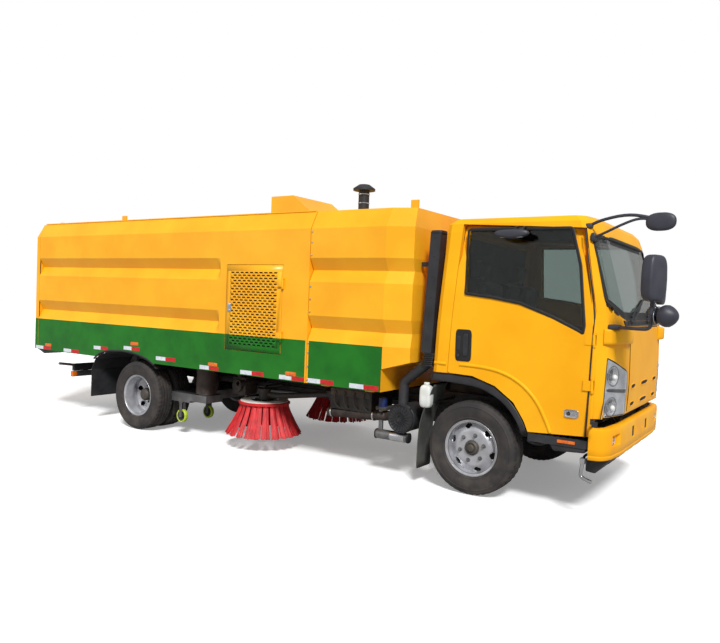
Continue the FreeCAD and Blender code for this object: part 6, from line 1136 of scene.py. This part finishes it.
# Cab inside: lining, door cards, dashboard fittings
wall = [(-250, y, z) for y, z in ((-900, 1110), (900, 1110), (860, 2200), (-860, 2200))]
roof = [(x, y, 2260) for x, y in ((-150, -780), (700, -780), (700, 780), (-150, 780))]
lining = Piece().patch(["cab_rear_wall"], wall, BACKWARD, 4, 1, 10, 8).patch(["cab_roof"], roof, UP, 4, 1, 8, 10)
lining.done("cab_lining", "cab", "lining_felt", "grey_plastic", 60)
for word, side in SIDES:
    card = Piece().pod((330, side * 905, 1330), (330, 50, 60), power=5)
    for corners in ([(420, 860), (930, 660), (930, 1180), (420, 1390)],
                    [(-170, 1120), (415, 1020), (415, 1400), (-170, 1560)]):
        card.patch([word + "_door"], [(x, side * 900, z) for x, z in corners], (0, side, 0), 5, 1, 8, 8)
    card.done(word + "_door_card", word + "_door", "grey_plastic", angle=60)
inside = Piece().box((772, 300, 1380), (800, 620, 1475), 12).pod((800, 460, 1462), (120, 330, 80), power=4)
inside.box((768, -640, 1180), (784, -220, 1370), 10)
for y in (-780, -140, 140, 780):
    inside.box((770, y - 60, 1385), (783, y + 60, 1430), 5)
for z in (1300, 1266, 1232, 1198):
    inside.disc((778, 0, z), BACKWARD, 12, (0, 14), 3, 20)
inside.done("dash_fittings", "cab", "black_plastic", "grey_plastic")
dials = Piece()
for y, radius in ((390, 22), (460, 30), (530, 22)):
    dials.disc((752, y, 1452), (-1, 0, 0.35), radius, (0, 5), 2, 30)
dials.done("dials", "cab", "plate_white", "grey_plastic")
lever = Piece().tube([(560, 20, 1050), (540, 20, 1180), (520, 24, 1300)], 11)
lever.pod((518, 24, 1316), (44, 44, 54), power=2.4).pod((560, 20, 1068), (120, 120, 50), power=3)
lever.done("gear_lever", "cab", "black_plastic", "grey_plastic")

# Seats. The cloth swells each pad for a few frames, and no point may move further than the limit (metres)
CLOTH_FRAMES, CLOTH_PRESSURE, CLOTH_LIMIT = 16, 4, 0.016
CHANNEL_HALF, CHANNEL_DEEP = 0.02, 0.007


def swell(made):
    """Blows a pad up as cloth and keeps the shape it takes."""
    mesh, parent = made.data, made.parent
    bpy.context.view_layer.objects.active = made
    made.parent = None
    made.matrix_world = Matrix()
    cloth = made.modifiers.new("cloth", "CLOTH")
    cloth.settings.use_pressure = True
    cloth.settings.uniform_pressure_force = CLOTH_PRESSURE
    cloth.settings.effector_weights.gravity = 0
    cloth.point_cache.frame_start, cloth.point_cache.frame_end = 1, CLOTH_FRAMES
    for frame_number in range(1, CLOTH_FRAMES + 1):
        bpy.context.scene.frame_set(frame_number)
    swollen = made.evaluated_get(bpy.context.evaluated_depsgraph_get())
    ends = [v.co.copy() for v in swollen.data.vertices]
    made.modifiers.remove(cloth)
    bpy.context.scene.frame_set(1)
    for v, end in zip(mesh.vertices, ends):
        step = end - v.co
        if step.length > CLOTH_LIMIT:
            step = step.normalized() * CLOTH_LIMIT
        v.co += step
    made.parent = parent


def cushion(name, middle, size, turn, channels):
    """A stuffed pad: a crowned box, swelled as cloth, then its sewn channels (shares of its half length)."""
    soft = 0.22
    pad = Piece()
    bmesh.ops.create_cube(pad.bm, size=2)
    bmesh.ops.subdivide_edges(pad.bm, edges=pad.bm.edges[:], cuts=15, use_grid_fill=True)
    for v in pad.bm.verts:
        a, b, _ = v.co
        crown = 0.98, 1 - 0.06 * (b * b) * abs(a), 0.86 + 0.2 * (1 - a * a) * (1 - b * b)
        v.co = [(flat * (1 - soft) + ball * soft) * wide / 2 * grow
                for flat, ball, wide, grow in zip(v.co, v.co.normalized(), size, crown)]
    made = pad.done(name, "cab", "seat_fabric", angle=60)
    mesh = made.data
    for v in mesh.vertices:
        v.co = (TO_MILLIMETRES @ v.co) / 1000
    swell(made)
    place = Matrix.Translation(TO_FRAME @ Vector(middle)) @ turn
    for v in mesh.vertices:
        for line in channels:
            gap = abs(v.co.x - line * size[0] / 2000)
            if gap < CHANNEL_HALF:
                v.co.z -= math.copysign(CHANNEL_DEEP * (1 - gap / CHANNEL_HALF), v.co.z)
        v.co = place @ v.co
    rounded(made)
    return made


lean = turned(-81, "Y")
seats, seat_frames = [], Piece()
for word, y, width in (("driver", 470, 470), ("middle", 0, 370), ("passenger", -470, 470)):
    seats.append(cushion(word + "_seat_cushion", (150, y, 1222), (550, width, 132), Matrix(), (-0.5, 0, 0.5)))
    cushion(word + "_seat_back", (-118, y, 1560), (560, width * 0.96, 116), lean, (-0.45, 0, 0.45))
    half = 180 if y else 140
    seat_frames.prism([(0, 1072), (380, 1072), (350, 1150), (20, 1150)], y - half, y + half, 6)
    if y:
        cushion(word + "_headrest", (-178, y, 1925), (168, 250, 92), lean, ())
        for dy in (-60, 60):
            seat_frames.tube([(-140, y + dy, 1790), (-168, y + dy, 1890)], 6, 8, 0)
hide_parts("seats")
seat_frames.done("seat_frames", "cab", "black_plastic", "seat_fabric")

# Stage: a floor that the camera sees nearly white and that throws less light back
scene = bpy.context.scene
floor_mesh = bpy.data.meshes.new("floor")
floor_mesh.from_pydata([(-60, -60, 0), (60, -60, 0), (60, 60, 0), (-60, 60, 0)], [], [(0, 1, 2, 3)])
ground = Paint("floor")
seen_by = ground.node("LightPath", {}, "Is Camera Ray")
shade = ground.mix(ground.noise(0.6), (0.42, 0.42, 0.42, 1), (0.4, 0.4, 0.4, 1))
floor_mesh.materials.append(ground.shaded({
    "Base Color": ground.mix(seen_by, shade, (0.9, 0.9, 0.9, 1)),
    "Emission Strength": ground.math("MULTIPLY", seen_by, 0.25)},
    Roughness=0.9, Specular_IOR_Level=0.0, Emission_Color=(1, 1, 1, 1)))
placed("floor", floor_mesh)

# A white studio, dimmer as a light than as a background
world = bpy.data.worlds.new("studio")
scene.world = world
sky = Wiring(world)
seen_ways = [sky.node("LightPath", {}, "Is %s Ray" % way) for way in ("Camera", "Transmission")]
seen = sky.node("Math", dict(enumerate(seen_ways)), operation="ADD", use_clamp=True)
sky.fill(sky.tree.nodes["Background"], {"Strength": sky.ramp(seen, 0, 1, 0.43, 1.0), "Color": (1, 1, 1, 1)})


def lamp(name, kind, energy, place, aim, **settings):
    data = bpy.data.lights.new(name, kind)
    data.energy = energy
    for key, value in settings.items():
        setattr(data, key, value)
    made = placed(name, data)
    made.location = place
    made.rotation_euler = (Vector(aim) - Vector(place)).to_track_quat("-Z", "Y").to_euler()


lamp("key", "SUN", 3.3, (6.5, -8, 11), (0, 0, 1), angle=0.2)
lamp("fill", "AREA", 70, (-7, -9, 5), (-1, 0, 1), size=5)
scene.view_settings.view_transform = "Standard"

# Camera, in the model's own frame (metres and radians), as fitted to the photograph
YAW, PITCH, ROLL, CAMERA, LENS = -0.587, 0.032, -0.039, (4.6623, -6.2352, 1.6141), 34.08
ahead = Vector((math.sin(YAW) * math.cos(PITCH), math.cos(YAW) * math.cos(PITCH), -math.sin(PITCH)))
right = Vector((math.cos(YAW), -math.sin(YAW), 0))
down = ahead.cross(right)
tilted = right * math.cos(ROLL) + down * math.sin(ROLL)
fallen = right * -math.sin(ROLL) + down * math.cos(ROLL)
camera_data = bpy.data.cameras.new("camera")
camera_data.lens = LENS
camera_data.sensor_width = 36
scene.camera = placed("camera", camera_data)
scene.camera.matrix_world = Matrix.Translation(CAMERA) @ Matrix((tilted, -fallen, -ahead)).transposed().to_4x4()
